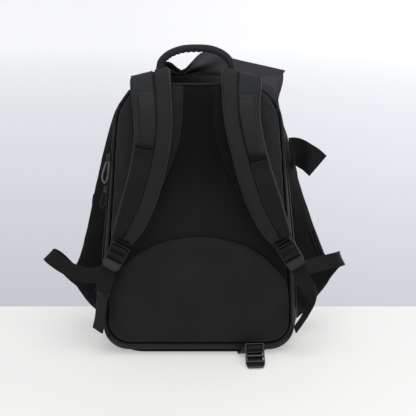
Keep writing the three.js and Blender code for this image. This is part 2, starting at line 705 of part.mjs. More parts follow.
// The gusset's outer outline at one depth between its bend and its front rim.
function gussetOutline(y) {
  const share = (y - BEND_Y) / (FRONT_RIM_Y - BEND_Y);
  return bendOutline.map((point, index) => point.clone().lerp(rimOutline[index], share));
}

function zipGeometry() {
  const { y, tapeHalf, tapeThick, coilHalf, coilThick, endZ } = ZIP;
  const profile = [
    [-tapeHalf, 0], [tapeHalf, 0], [tapeHalf, tapeThick], [coilHalf, tapeThick],
    [coilHalf * 0.7, coilThick], [-coilHalf * 0.7, coilThick], [-coilHalf, tapeThick], [-tapeHalf, tapeThick],
  ];
  const outlines = profile.map(([depth]) => gussetOutline(y + depth));
  const stand = 2 * GAP;
  const sections = [];
  gussetOutline(y).forEach((point, index) => {
    if (point.y < endZ) {
      return;
    }
    sections.push(profile.map(([depth, height], corner) => {
      const outwards = outwardsAt(outlines[corner], index);
      const reach = outlines[corner][index].clone().addScaledVector(outwards, height + stand);
      return new THREE.Vector3(reach.x, y + depth, reach.y);
    }));
  });
  return loft(sections, false);
}
addPiece('zip', zipGeometry(), zipMaterial);

// The left end of the gusset at one height, on the zip's line.
function leftZipX(z) {
  return -halfWidthAt(gussetOutline(ZIP.y), z);
}

// Sliders sit astride the coil, and a cord loop hangs from each as its pull
function addSlider(name, z) {
  const half = SLIDER.length / 2;
  const corner = { radius: SLIDER.corner, steps: 2 };
  const outline = roundedOutline([
    { x: SLIDER.width / 2, z: -half, ...corner },
    { x: SLIDER.width / 2, z: half, ...corner },
    { x: -SLIDER.width / 2, z: half, ...corner },
    { x: -SLIDER.width / 2, z: -half, ...corner },
  ]);
  const body = new THREE.ExtrudeGeometry(new THREE.Shape(outline), {
    depth: SLIDER.thick,
    bevelEnabled: false,
    steps: 1,
  });
  const slider = addPiece(name, body, plastic);
  const slope = Math.atan2(leftZipX(z + half) - leftZipX(z - half), SLIDER.length);
  const up = new THREE.Vector3(Math.sin(slope), 0, Math.cos(slope));
  const out = new THREE.Vector3(-Math.cos(slope), 0, Math.sin(slope));
  slider.quaternion.setFromRotationMatrix(new THREE.Matrix4().makeBasis(up.clone().cross(out), up, out));
  slider.position.set(leftZipX(z) - ZIP.coilThick - 4 * GAP, ZIP.y, z);
}
addSlider('zip_slider_upper', UPPER_SLIDER_Z);
addSlider('zip_slider_lower', LOWER_SLIDER_Z);

function roundSection(radius, sides) {
  return Array.from({ length: sides }, (_, side) => {
    const angle = (2 * Math.PI * side) / sides;
    return new THREE.Vector2(radius * Math.cos(angle), radius * Math.sin(angle));
  });
}

function tube(points, radius, sides, steps) {
  const path = new THREE.CatmullRomCurve3(points, false, 'centripetal');
  const section = new THREE.Shape(roundSection(radius, sides));
  return new THREE.ExtrudeGeometry(section, { extrudePath: path, steps, bevelEnabled: false });
}

function addPull(name, sliderZ, route) {
  const startZ = sliderZ - SLIDER.length / 2;
  const points = route.map((row) => {
    const z = startZ + row.z;
    return new THREE.Vector3(leftZipX(z) - row.stand, ZIP.y + row.y, z);
  });
  addPiece(name, tube(points, PULL_RADIUS, PULL_SIDES, PULL_STEPS), cordMaterial);
}
addPull('zip_pull_upper', UPPER_SLIDER_Z, UPPER_PULL);
addPull('zip_pull_lower', LOWER_SLIDER_Z, LOWER_PULL);

// Shoulder straps: a padded band with rounded edges, and the strips sewn along its face
function strapFrames(rows) {
  const places = new THREE.CatmullRomCurve3(rows.map(vector), false, 'centripetal');
  const sizes = new THREE.CatmullRomCurve3(rows.map((row) => new THREE.Vector3(row.width, row.roll, 0)));
  return Array.from({ length: STRAP_STATIONS + 1 }, (_, station) => {
    const share = station / STRAP_STATIONS;
    const along = places.getTangent(share);
    const { x: width, y: roll } = sizes.getPoint(share);
    const tilt = THREE.MathUtils.degToRad(roll);
    const across = new THREE.Vector3(Math.cos(tilt), 0, Math.sin(tilt)).projectOnPlane(along).normalize();
    const out = along.clone().cross(across).normalize();
    return { point: places.getPoint(share), along, across, out, width };
  });
}

function paddedSection(frame, station) {
  const half = frame.width / 2;
  const thin = THREE.MathUtils.smoothstep(station, STRAP_TAPER_FROM, STRAP_STATIONS);
  const out = THREE.MathUtils.lerp(STRAP_THICK, STRAP_END_THICK, thin) / 2;
  const soft = STRAP_SOFT_EDGE;
  return [
    [-half, -out / 2], [-half + soft, -out], [half - soft, -out], [half, -out / 2],
    [half, out / 2], [half - soft, out], [-half + soft, out], [-half, out / 2],
  ];
}

// A strip on the strap's face, a set distance from one edge: inwards is 1 for the +X edge, -1 for the other.
// Beside holds the width that the strip leaves free along the other edge.
function strip(frames, size, inwards, beside) {
  const chosen = frames.slice(size.from, size.to + 1);
  return ribbon(chosen, (frame, station) => {
    const half = Math.min(size.width, frame.width - size.edge - beside) / 2;
    const middle = inwards * (frame.width / 2 - size.edge - half);
    const rise = (size.bulge ?? 0) * Math.sin((Math.PI * station) / (chosen.length - 1));
    const low = STRAP_THICK / 2 + 2 * GAP + rise;
    const high = low + size.thick;
    return [[middle - half, low], [middle + half, low], [middle + half, high], [middle - half, high]];
  });
}

// Ladder lock: a slotted frame whose foot curls out into a lever lip
function lockGeometry() {
  const { width, slotWidth, thick, cornerRadius, head, slots, foot } = LOCK;
  const half = width / 2;
  const corner = { radius: cornerRadius, steps: 3 };
  const frame = new THREE.Shape(roundedOutline([
    { x: half, z: foot, ...corner },
    { x: half, z: head, ...corner },
    { x: -half, z: head, ...corner },
    { x: -half, z: foot, ...corner },
  ]));
  for (const [low, high] of slots) {
    const side = slotWidth / 2;
    frame.holes.push(new THREE.Path([
      new THREE.Vector2(-side, low),
      new THREE.Vector2(-side, high),
      new THREE.Vector2(side, high),
      new THREE.Vector2(side, low),
    ]));
  }
  const body = new THREE.ExtrudeGeometry(frame, { depth: thick, bevelEnabled: false, steps: 1 });
  body.translate(0, 0, -thick / 2);
  const lipWidth = width - 2 * cornerRadius;
  const lip = loft([-lipWidth / 2, lipWidth / 2].map((across) =>
    LOCK_LIP.map((row) => new THREE.Vector3(across, row.along, row.out))), false);
  return joined(body, lip);
}

// Where a lock sits: its middle and its directions across, along and out.
function lockPlace(middle, along, out) {
  const up = along.clone().normalize();
  const face = out.clone().projectOnPlane(up).normalize();
  return { middle: vector(middle), across: up.clone().cross(face), along: up, out: face };
}

function addLock(name, place) {
  const lock = addPiece(name, lockGeometry(), plastic);
  lock.quaternion.setFromRotationMatrix(new THREE.Matrix4().makeBasis(place.across, place.along, place.out));
  lock.position.copy(place.middle);
}

function lockRow(place, row) {
  const point = place.middle.clone();
  point.addScaledVector(place.along, row.along).addScaledVector(place.out, row.out);
  return { point, across: place.across };
}

function addWebbing(name, rows) {
  addPiece(name, ribbon(ribbonFrames(rows, 2), flatSection(WEBBING_WIDTH, WEBBING_THICK)), webbing);
}

function addStrap(suffix, rows, sideSize, inwards) {
  const frames = strapFrames(rows);
  const { middle, leanX, webbingSpan, coverSpan, loop, tail } = sideSize;
  const along = new THREE.Vector3(leanX, 0, Math.sqrt(1 - leanX * leanX));
  const place = lockPlace(middle, along, new THREE.Vector3(0, -1, 0));
  addPiece(`shoulder_strap_${suffix}`, ribbon(frames, paddedSection), canvas);
  const outside = BAND.edge + BAND.width + 4 * GAP;
  addPiece(`strap_band_${suffix}`, strip(frames, BAND, inwards, BAND.width), lightCloth);
  const webbingSize = { ...STRAP_WEBBING, ...webbingSpan };
  addPiece(`strap_webbing_${suffix}`, strip(frames, webbingSize, -inwards, outside), webbing);
  const coverSize = { ...STRAP_COVER, ...coverSpan };
  addPiece(`strap_cover_${suffix}`, strip(frames, coverSize, -inwards, outside), lightCloth);
  addLock(`ladder_lock_${suffix}`, place);
  addWebbing(`lock_loop_${suffix}`, HEAD_LOOP.map((row) => lockRow(place, row)));
  addWebbing(`lower_webbing_${suffix}`, [
    ...loop.map(ribbonRow),
    ...THREADING.map((row) => lockRow(place, row)),
    ...tail.map(ribbonRow),
  ]);
}
addStrap('left', STRAP_LEFT, LEFT_SIDE, 1);
addStrap('right', STRAP_RIGHT, RIGHT_SIDE, -1);

// The spare lock in front of the base, on its strip of webbing
const floorPlace = lockPlace(FLOOR_LOCK.middle, vector(FLOOR_LOCK.up), vector(FLOOR_LOCK.out));
addLock('ladder_lock_floor', floorPlace);
addWebbing('floor_webbing', [
  ...FLOOR_LOCK.strip.map(ribbonRow),
  ...FLOOR_LOOP.map((row) => lockRow(floorPlace, row)),
]);

// Grab handle: a rolled cloth tube whose feet stand on the bands of the straps
const handleGeometry = tube(HANDLE_PATH.map(vector), HANDLE_RADIUS, HANDLE_SIDES, HANDLE_STEPS);
addPiece('grab_handle', handleGeometry, lightCloth);

export default rucksack;
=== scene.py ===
# A rucksack that stands on its base, dressed round the fixed frame in the order in which such a pack is sewn.
import json
import math

import bpy
from mathutils import Matrix, Vector, noise

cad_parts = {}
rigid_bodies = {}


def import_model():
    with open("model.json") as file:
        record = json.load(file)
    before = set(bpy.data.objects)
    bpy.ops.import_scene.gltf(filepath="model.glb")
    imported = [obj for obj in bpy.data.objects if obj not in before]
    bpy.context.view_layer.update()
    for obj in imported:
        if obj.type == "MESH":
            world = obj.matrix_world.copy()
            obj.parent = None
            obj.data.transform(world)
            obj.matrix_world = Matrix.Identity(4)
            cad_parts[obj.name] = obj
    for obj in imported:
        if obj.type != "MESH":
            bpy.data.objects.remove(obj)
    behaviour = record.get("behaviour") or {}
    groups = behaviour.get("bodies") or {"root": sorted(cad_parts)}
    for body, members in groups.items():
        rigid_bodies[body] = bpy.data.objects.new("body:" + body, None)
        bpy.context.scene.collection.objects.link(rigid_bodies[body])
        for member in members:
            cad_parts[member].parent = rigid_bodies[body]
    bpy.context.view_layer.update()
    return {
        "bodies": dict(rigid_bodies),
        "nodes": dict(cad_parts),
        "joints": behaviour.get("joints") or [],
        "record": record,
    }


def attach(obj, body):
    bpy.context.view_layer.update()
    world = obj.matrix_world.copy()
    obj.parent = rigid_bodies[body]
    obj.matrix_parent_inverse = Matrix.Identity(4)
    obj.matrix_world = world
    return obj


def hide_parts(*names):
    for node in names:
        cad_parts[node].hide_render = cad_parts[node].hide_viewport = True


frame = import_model()
MM = 0.001

# The table top and what lies behind it: white laminate, and past its far edge a pale blue-grey ground that
# glows with painted light, brightening with distance as a lit wall does. A large soft light hangs above on
# the wearer's side, a weak one stands to the right and a small one behind.
TABLE_EDGE = 0.18
TABLE_SIZE = (24.0, 8.0)
TABLE_DROP = 0.3 * MM
TABLE_COLOUR = (0.45, 0.448, 0.442, 1)
TABLE_ROUGHNESS = 0.6
# A little light of the table's own, which lifts the shade beside the pack as a bright room does
TABLE_GLOW = (1, 0.99, 0.972, 1)
TABLE_GLOW_STRENGTH = 0.4
GROUND_SIZE = (4000.0, 3000.0)
GROUND_NEAR = (0.545, 0.56, 0.6, 1)
GROUND_MIDDLE = (0.69, 0.71, 0.755, 1)
GROUND_FAR = (0.93, 0.935, 0.95, 1)
# The distance to this power, between two values, gives the share of the way from the near tone to the far one
GROUND_POWER = 0.55
GROUND_REACH = (0.3, 3.6)
GROUND_MIDDLE_SHARE = 0.3
# Painted light: the ground's glow is a little brighter to the right, by slants measured from a place this
# far in front of the pack
GROUND_LIGHT_DEPTH = 1.6
GROUND_SLANTS = (-0.1, 0.2)
GROUND_PAINTED_LIGHT_GAINS = (1.0, 1.13)
ROOM_COLOUR = (0.95, 0.97, 1, 1)
ROOM_STRENGTH = 0.52
# Place, the place that it points at, side and power of each light
SOFT_LIGHTS = {
    "light_above": ((0.25, -1.2, 2.3), (0, -0.1, 0.2), 2.0, 52),
    "light_right": ((2.2, -1.3, 1.6), (0, 0, 0.2), 3.0, 6),
    "light_behind": ((1.7, 1.7, 0.6), (0, 0.05, 0.25), 1.0, 12),
}
LENS = 85
CAMERA_PLACE = (0.0152, -1.61867, 0.57449)
CAMERA_TILT = math.radians(78)


def set_inputs(tree, node, inputs):
    """Puts values or links on a node's inputs."""
    for key, value in inputs.items():
        if isinstance(value, bpy.types.NodeSocket):
            tree.links.new(value, node.inputs[key])
        else:
            node.inputs[key].default_value = value


def add_node(tree, kind, inputs, **settings):
    """A shader node with its settings, and with values or links on its inputs."""
    made = tree.nodes.new(kind)
    for key, value in settings.items():
        setattr(made, key, value)
    set_inputs(tree, made, inputs)
    return made


def work_out(tree, operation, *values):
    """One step of arithmetic on numbers or links."""
    return add_node(tree, "ShaderNodeMath", dict(enumerate(values)), operation=operation).outputs[0]


def map_range(tree, value, source=(0, 1), target=(0, 1), **settings):
    """Carries a value from one range into another."""
    limits = dict(zip(("From Min", "From Max", "To Min", "To Max"), (*source, *target)))
    return add_node(tree, "ShaderNodeMapRange", {"Value": value, **limits}, **settings).outputs[0]


def own_coordinates(tree, kind="Object"):
    """A piece's own coordinates."""
    return add_node(tree, "ShaderNodeTexCoord", {}).outputs[kind]


def new_material(name):
    """A material, its node tree and its shader."""
    material = bpy.data.materials.new(name)
    material.use_nodes = True
    return material, material.node_tree, material.node_tree.nodes["Principled BSDF"]


def add_floor(name, near, size, material):
    """A flat stretch of ground that starts at one depth and runs away from the viewer."""
    width, length = size
    bpy.ops.object.select_all(action="DESELECT")
    bpy.ops.mesh.primitive_plane_add(size=1, location=(0, near + length / 2, -TABLE_DROP))
    floor = bpy.context.active_object
    floor.name = name
    floor.scale = (width, length, 1)
    bpy.ops.object.transform_apply(location=True, rotation=False, scale=True)
    floor.data.materials.append(material)


table_material, tree, shader = new_material("white_laminate")
set_inputs(tree, shader, {
    "Base Color": TABLE_COLOUR,
    "Roughness": TABLE_ROUGHNESS,
    "Emission Color": TABLE_GLOW,
    "Emission Strength": TABLE_GLOW_STRENGTH,
})
add_floor("table", TABLE_EDGE - TABLE_SIZE[1], TABLE_SIZE, table_material)

# The ground's glow is painted light: paler with distance and towards the right, as a lit wall is
ground_material, tree, shader = new_material("pale_ground")
place = add_node(tree, "ShaderNodeSeparateXYZ", {0: own_coordinates(tree)})
away = work_out(tree, "POWER", place.outputs["Y"], GROUND_POWER)
ramp = add_node(tree, "ShaderNodeValToRGB", {0: map_range(tree, away, GROUND_REACH)})
ramp.color_ramp.elements[0].color = GROUND_NEAR
ramp.color_ramp.elements[1].color = GROUND_FAR
ramp.color_ramp.elements.new(GROUND_MIDDLE_SHARE).color = GROUND_MIDDLE
depth = work_out(tree, "ADD", place.outputs["Y"], GROUND_LIGHT_DEPTH)
slant = work_out(tree, "DIVIDE", place.outputs["X"], depth)
painted_light_gain = map_range(tree, slant, GROUND_SLANTS, GROUND_PAINTED_LIGHT_GAINS)
lit = add_node(tree, "ShaderNodeVectorMath", {0: ramp.outputs[0], "Scale": painted_light_gain}, operation="SCALE")
set_inputs(tree, shader, {
    "Base Color": (0, 0, 0, 1),
    "Specular IOR Level": 0,
    "Emission Color": lit.outputs[0],
    "Emission Strength": 1,
})
add_floor("ground", TABLE_EDGE, GROUND_SIZE, ground_material)

world = bpy.data.worlds.new("soft_room")
bpy.context.scene.world = world
world.use_nodes = True
background = world.node_tree.nodes["Background"]
set_inputs(world.node_tree, background, {"Color": ROOM_COLOUR, "Strength": ROOM_STRENGTH})
bpy.context.scene.view_settings.view_transform = "Standard"

for name, (place, aim, size, power) in SOFT_LIGHTS.items():
    bpy.ops.object.light_add(type="AREA", location=place)
    light = bpy.context.active_object
    light.name = name
    light.data.size = size
    light.data.energy = power
    light.rotation_euler = (Vector(aim) - Vector(place)).to_track_quat("-Z", "Y").to_euler()
    light.visible_camera = False

bpy.ops.object.camera_add(location=CAMERA_PLACE, rotation=(CAMERA_TILT, 0, 0))
bpy.context.active_object.data.lens = LENS
bpy.context.scene.camera = bpy.context.active_object

# The padded back: a foam board covered in dense black canvas, which shows between the pads as a sunken
# channel. Its edge is sewn into the gusset all round.
CANVAS_DARK = (0.0098, 0.0102, 0.0109, 1)
CANVAS_LIGHT = (0.0155, 0.016, 0.017, 1)
CANVAS_PITCH = 0.9 * MM
# The range of three crossings of threads added up, and how deep the threads stand
WEAVE_SWING = (-1.2, 1.2)
THREAD_DEPTH = 0.25 * MM
# Noise scales of the faded patches and of the fibre, and the range of the two added up
PATCH_SCALE = 14.0
FIBRE_SCALE = 900.0
MOTTLE_RANGE = (0.7, 1.3)
# How closely the cells of the lint lie, a speck's edge and full strength in its cell, and how many stay bare
LINT_SCALE = 95.0
LINT_REACH = (0.035, 0.02)
LINT_BARE_SHARE = 0.93
LINT_COLOUR = (0.16, 0.16, 0.16, 1)
CLOTH_ROUGHNESS_SWING = 0.06
CLOTH_SHEEN_ROUGHNESS = 0.45
CLOTH_SPECULAR = 0.1


def new_group(name, inputs, outputs):
    """A node group with named sockets, what it is given, and its output node."""
    group = bpy.data.node_groups.new(name, "ShaderNodeTree")
    for label, kind, value in inputs:
        socket = group.interface.new_socket(label, in_out="INPUT", socket_type=kind)
        if value is not None:
            socket.default_value = value
    for label, kind in outputs:
        group.interface.new_socket(label, in_out="OUTPUT", socket_type=kind)
    return group, group.nodes.new("NodeGroupInput").outputs, group.nodes.new("NodeGroupOutput")


def mix_colours(tree, share, first, second):
    """A colour between two colours."""
    return add_node(tree, "ShaderNodeMix", {0: share, 6: first, 7: second}, data_type="RGBA").outputs[2]


def make_weave_group():
    """Threads that cross over and under each other, whichever way the cloth faces."""
    group, given, result = new_group(
        "weave",
        [("Vector", "NodeSocketVector", None), ("Pitch", "NodeSocketFloat", CANVAS_PITCH)],
        [("Height", "NodeSocketFloat")],
    )
    turns = work_out(group, "DIVIDE", 2 * math.pi, given["Pitch"])
    phase = add_node(group, "ShaderNodeVectorMath", {0: given["Vector"], "Scale": turns}, operation="SCALE")
    wave = add_node(group, "ShaderNodeVectorMath", {0: phase.outputs[0]}, operation="SINE")
    axes = add_node(group, "ShaderNodeSeparateXYZ", {0: wave.outputs[0]}).outputs
    total = work_out(group, "MULTIPLY", axes["X"], axes["Z"])
    for one, other in (("Y", "Z"), ("X", "Y")):
        total = work_out(group, "ADD", total, work_out(group, "MULTIPLY", axes[one], axes[other]))
    set_inputs(group, result, {"Height": map_range(group, total, WEAVE_SWING)})
    return group


def make_mottle_group():
    """The uneven tone of dyed cloth: broad faded patches, fine fibre and a few specks of pale lint."""
    group, given, result = new_group(
        "mottle",
        [
            ("Vector", "NodeSocketVector", None),
            ("Dark", "NodeSocketColor", CANVAS_DARK),
            ("Light", "NodeSocketColor", CANVAS_LIGHT),
            ("Lint", "NodeSocketFloat", 0.25),
        ],
        [("Color", "NodeSocketColor"), ("Fade", "NodeSocketFloat")],
    )
    vector = given["Vector"]
    broad = add_node(group, "ShaderNodeTexNoise", {"Vector": vector, "Scale": PATCH_SCALE, "Detail": 3.0})
    fine = add_node(group, "ShaderNodeTexNoise", {"Vector": vector, "Scale": FIBRE_SCALE, "Detail": 1.0})
    fade = map_range(group, work_out(group, "ADD", broad.outputs[0], fine.outputs[0]), MOTTLE_RANGE)
    tone = mix_colours(group, fade, given["Dark"], given["Light"])
    cells = add_node(group, "ShaderNodeTexVoronoi", {"Vector": vector, "Scale": LINT_SCALE})
    near = map_range(group, cells.outputs["Distance"], LINT_REACH)
    chosen = add_node(group, "ShaderNodeSeparateColor", {0: cells.outputs["Color"]})
    rare = work_out(group, "GREATER_THAN", chosen.outputs[0], LINT_BARE_SHARE)
    amount = work_out(group, "MULTIPLY", work_out(group, "MULTIPLY", near, rare), given["Lint"])
    set_inputs(group, result, {"Color": mix_colours(group, amount, tone, LINT_COLOUR), "Fade": fade})
    return group


def make_light_and_shade_group():
    """Painted light and shade: a cloth's colour that passes into another tone along one direction, between
    two places.
    """
    group, given, result = new_group(
        "painted_light_and_shade",
        [
            ("Vector", "NodeSocketVector", None),
            ("Direction", "NodeSocketVector", (0, 0, 1)),
            ("Color", "NodeSocketColor", CANVAS_DARK),
            ("Tone", "NodeSocketColor", CANVAS_LIGHT),
            ("Start", "NodeSocketFloat", 0.0),
            ("End", "NodeSocketFloat", 1.0),
        ],
        [("Color", "NodeSocketColor")],
    )
    ways = {0: given["Vector"], 1: given["Direction"]}
    reach = add_node(group, "ShaderNodeVectorMath", ways, operation="DOT_PRODUCT").outputs["Value"]
    share = map_range(group, reach, (given["Start"], given["End"]), interpolation_type="SMOOTHSTEP")
    set_inputs(group, result, {"Color": mix_colours(group, share, given["Color"], given["Tone"])})
    return group


weave_group = make_weave_group()
mottle_group = make_mottle_group()
light_and_shade_group = make_light_and_shade_group()


def make_cloth(name, dark, light, pitch, roughness, sheen, relief, lint=0.25, coordinates="Object"):
    """Woven black cloth: mottled colour, threads in relief, and a soft sheen from its nap."""
    material, tree, shader = new_material(name)
    vector = own_coordinates(tree, coordinates)
    dye = {"Vector": vector, "Dark": dark, "Light": light, "Lint": lint}
    mottle = add_node(tree, "ShaderNodeGroup", dye, node_tree=mottle_group)
    threads = add_node(tree, "ShaderNodeGroup", {"Vector": vector, "Pitch": pitch}, node_tree=weave_group)
    standing = {"Height": threads.outputs["Height"], "Strength": relief, "Distance": THREAD_DEPTH}
    bump = add_node(tree, "ShaderNodeBump", standing)
    rough = (roughness - CLOTH_ROUGHNESS_SWING, roughness + CLOTH_ROUGHNESS_SWING)
    set_inputs(tree, shader, {
        "Base Color": mottle.outputs["Color"],
        "Roughness": map_range(tree, mottle.outputs["Fade"], target=rough),
        "Normal": bump.outputs[0],
        "Sheen Weight": sheen,
        "Sheen Roughness": CLOTH_SHEEN_ROUGHNESS,
        "Specular IOR Level": CLOTH_SPECULAR,
    })
    return material


def paint_light_and_shade(material, tone, start, end, direction=(0, 0, 1)):
    """Paints light and shade on a cloth: passes its colour into a second tone along a direction, between two
    places.
    """
    tree = material.node_tree
    shader = tree.nodes["Principled BSDF"]
    fade = add_node(tree, "ShaderNodeGroup", {
        "Vector": own_coordinates(tree),
        "Direction": direction,
        "Color": shader.inputs["Base Color"].links[0].from_socket,
        "Tone": tone,
        "Start": start,
        "End": end,
    }, node_tree=light_and_shade_group)
    set_inputs(tree, shader, {"Base Color": fade.outputs["Color"]})


canvas = make_cloth(
    "canvas", CANVAS_DARK, CANVAS_LIGHT, CANVAS_PITCH, roughness=0.85, sheen=0.06, relief=0.5
)


def make_active(piece):
    """Selects one piece alone."""
    bpy.ops.object.select_all(action="DESELECT")
    piece.select_set(True)
    bpy.context.view_layer.objects.active = piece


def cad_copy(node, name):
    """A new object with a copy of a CAD node's mesh, its loose triangles merged into one skin of quads."""
    piece = bpy.data.objects.new(name, frame["nodes"][node].data.copy())
    bpy.context.scene.collection.objects.link(piece)
    piece.data.materials.clear()
    make_active(piece)
    bpy.ops.object.mode_set(mode="EDIT")
    bpy.ops.mesh.select_all(action="SELECT")
    bpy.ops.mesh.remove_doubles(threshold=0.02 * MM)
    bpy.ops.mesh.tris_convert_to_quads()
    bpy.ops.object.mode_set(mode="OBJECT")
    return piece


def apply_modifier(piece, kind, **settings):
    """Adds a modifier with its settings and applies it."""
    make_active(piece)
    modifier = piece.modifiers.new(kind.lower(), kind)
    for key, value in settings.items():
        setattr(modifier, key, value)
    bpy.ops.object.modifier_apply(modifier=modifier.name)


def simulate(piece, cloth, steps, cap, inward_share=1.0):
    """Runs a piece's cloth and keeps its result: each move is limited, and its inward part cut to a share."""
    scene = bpy.context.scene
    for step in range(1, steps + 1):
        scene.frame_set(step)
    moved = piece.evaluated_get(bpy.context.evaluated_depsgraph_get()).data
    for vertex, after in zip(piece.data.vertices, moved.vertices):
        move = after.co - vertex.co
        inward = min(0, move.dot(vertex.normal))
        move -= vertex.normal * inward * (1 - inward_share)
        if move.length > cap:
            move.length = cap
        vertex.co += move
    piece.modifiers.remove(cloth)
    scene.frame_set(1)


def sew_down(piece, is_sewn):
    """A vertex group of the points that a seam holds."""
    group = piece.vertex_groups.new(name="sewn")
    group.add([vertex.index for vertex in piece.data.vertices if is_sewn(vertex)], 1, "REPLACE")
    return group.name


# How long a filling is left to swell, and how much of a pad's rear is sewn down
SWELL_STEPS = 20
SEWN_DEPTH = 2 * MM


def swell(piece, pressure, cap, is_sewn):
    """Fills a closed piece as foam fills its cover, held where it is sewn down."""
    cloth = piece.modifiers.new("cloth", "CLOTH")
    cloth.settings.vertex_group_mass = sew_down(piece, is_sewn)
    cloth.settings.use_pressure = True
    cloth.settings.uniform_pressure_force = pressure
    cloth.settings.effector_weights.gravity = 0
    simulate(piece, cloth, SWELL_STEPS, cap)


def make_pad(node, name, voxel, rounding, sink, pressure, cap):
    """A foam pad under cloth: a slab with soft edges, sunk a little and swollen back by its filling."""
    pad = cad_copy(node, name)
    rear = max(vertex.co.y for vertex in pad.data.vertices)
    apply_modifier(pad, "REMESH", mode="VOXEL", voxel_size=voxel)
    apply_modifier(pad, "SMOOTH", factor=0.5, iterations=rounding)
    for vertex in pad.data.vertices:
        vertex.co -= sink * vertex.normal
    swell(pad, pressure, cap, lambda vertex: vertex.co.y > rear - SEWN_DEPTH)
    apply_modifier(pad, "SMOOTH", factor=0.4, iterations=2)
    apply_modifier(pad, "SUBSURF", levels=1, render_levels=1)
    make_active(pad)
    bpy.ops.object.shade_smooth()
    return pad


def dress(piece, material, slot, *nodes):
    """Gives a piece its material and ties it to the frame."""
    piece.data.materials.append(material)
    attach(piece, "root")
    if nodes:
        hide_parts(*nodes)


# The channel's half width at each height, the share of it that is flat, and how deep it dips between the pads
CHANNEL_ROWS = ((170, 129), (217, 96), (246, 77), (280, 57), (330, 36), (366, 26), (406, 22.5), (436, 21))
CHANNEL_FLAT = 0.55
CHANNEL_DIP = 4.5 * MM
# Depths behind the pack's middle, and heights, between which the dip grows from nothing to all of it
CHANNEL_FACE = (73, 79)
CHANNEL_HEIGHTS = (215, 300)


def ease(value, start, end):
    """Rises smoothly from 0 at start to 1 at end."""
    share = min(1, max(0, (value - start) / (end - start)))
    return share * share * (3 - 2 * share)


def table_value(rows, key):
    """Reads a table of pairs at a key between its rows."""
    for (low, first), (high, second) in zip(rows, rows[1:]):
        if key <= high:
            return first + (second - first) * (key - low) / (high - low)
    return rows[-1][1]


back = make_pad(
    "back_panel", "padded_back", voxel=4 * MM, rounding=3, sink=0.6 * MM, pressure=1.0, cap=1.5 * MM
)
for vertex in back.data.vertices:
    height = vertex.co.z / MM
    half = table_value(CHANNEL_ROWS, height) * MM
    across = 1 - ease(abs(vertex.co.x), CHANNEL_FLAT * half, half)
    within = across * ease(-vertex.co.y / MM, *CHANNEL_FACE)
    vertex.co.y += CHANNEL_DIP * within * ease(height, *CHANNEL_HEIGHTS)
# The channel's cloth is darker than the pads' canvas, partly as painted shade of the sunken channel
channel_cloth_painted_light_and_shade = make_cloth(
    "channel_cloth_painted_light_and_shade", (0.003, 0.0032, 0.0035, 1), (0.0052, 0.0054, 0.0058, 1), CANVAS_PITCH,
    roughness=0.85, sheen=0.03, relief=0.6,
)
# Painted light: paler towards the channel's foot, where the panel turns up to the light
paint_light_and_shade(channel_cloth_painted_light_and_shade, (0.0088, 0.0091, 0.0097, 1), 340 * MM, 225 * MM)
dress(back, channel_cloth_painted_light_and_shade, "canvas", "back_panel")

# Three foam pads on the back, each under the same canvas and sewn down along its edge: a broad lumbar pad
# with an arched top, and a long pad down each side that leaves the channel free between them.
# The panel's half width at each height: the side pads run out to the seam there
PANEL_ROWS = ((20, 152), (190, 143.5), (385, 128), (405, 121), (420, 110), (435, 92), (442, 64))
SEAM_REACH = 2.6 * MM
SEAM_MARGINS = (22, 4)
# Heights between which the heads of the pads rise to the seam and flatten to a depth
PAD_HEAD = (410, 438)
PAD_HEAD_RISE = 7.8 * MM
PAD_HEAD_DEPTH = -77.5 * MM
# The side pads' cloth carries painted shade and light: darker beside the channel, in the straps' shade, the
# right pad most as the light comes from the right, and paler towards the pack's sides, where it is lit: the
# share of the canvas's tone beside the channel, and the way that leads outwards
PAD_PAINTED_SHADE_AND_LIGHT = {"side_pad_left": (0.9, -1), "side_pad_right": (0.42, 1)}
PAD_PAINTED_LIGHT_TONE = (0.0172, 0.0178, 0.019, 1)
PAD_PAINTED_LIGHT_REACH = (70 * MM, 108 * MM)
pad_cloths = {"lumbar_pad": canvas}
for node, (inner, way) in PAD_PAINTED_SHADE_AND_LIGHT.items():
    dark, light = (tuple(inner * part for part in tone[0:3]) + (1,) for tone in (CANVAS_DARK, CANVAS_LIGHT))
    # Painted shade beside the channel and painted light towards the pack's side
    pad_cloths[node] = make_cloth(
        f"{node}_canvas", dark, light, CANVAS_PITCH, roughness=0.85, sheen=0.06, relief=0.5
    )
    paint_light_and_shade(pad_cloths[node], PAD_PAINTED_LIGHT_TONE, *PAD_PAINTED_LIGHT_REACH, (way, 0, 0))
for node, name in (
    ("lumbar_pad", "lumbar_cushion"),
    ("side_pad_left", "side_cushion_left"),
    ("side_pad_right", "side_cushion_right"),
):
    pad = make_pad(node, name, voxel=3 * MM, rounding=4, sink=0.8 * MM, pressure=2.5, cap=3 * MM)
    for vertex in pad.data.vertices:
        half = table_value(PANEL_ROWS, vertex.co.z / MM)
        near, full = (half - margin for margin in SEAM_MARGINS)
        vertex.co.x += math.copysign(SEAM_REACH * ease(abs(vertex.co.x) / MM, near, full), vertex.co.x)
        head = ease(vertex.co.z / MM, *PAD_HEAD)
        vertex.co.z += PAD_HEAD_RISE * head
        vertex.co.y += max(0, PAD_HEAD_DEPTH - vertex.co.y) * head ** 2
    dress(pad, pad_cloths[node], "canvas", node)

# Piping round the back panel: a thin cord in a bias strip of the same cloth, caught in the seam between the
# panel and the gusset. It lies just outside the panel's edge.
# Half width, height and corner radius at the foot, the waist and the head of the panel
BACK_SHAPE = {"foot": (152, 20, 36), "waist": (143.5, 190, 260), "head": (124, 442, 60)}
PIPING_RADIUS = 2 * MM
PIPING_RIPPLE = 0.12 * MM
PIPING_DEPTH = -76.3 * MM
PIPING_STAND = 2.5 * MM
ARC_STEPS = 10
STRAIGHT_STEPS = 12


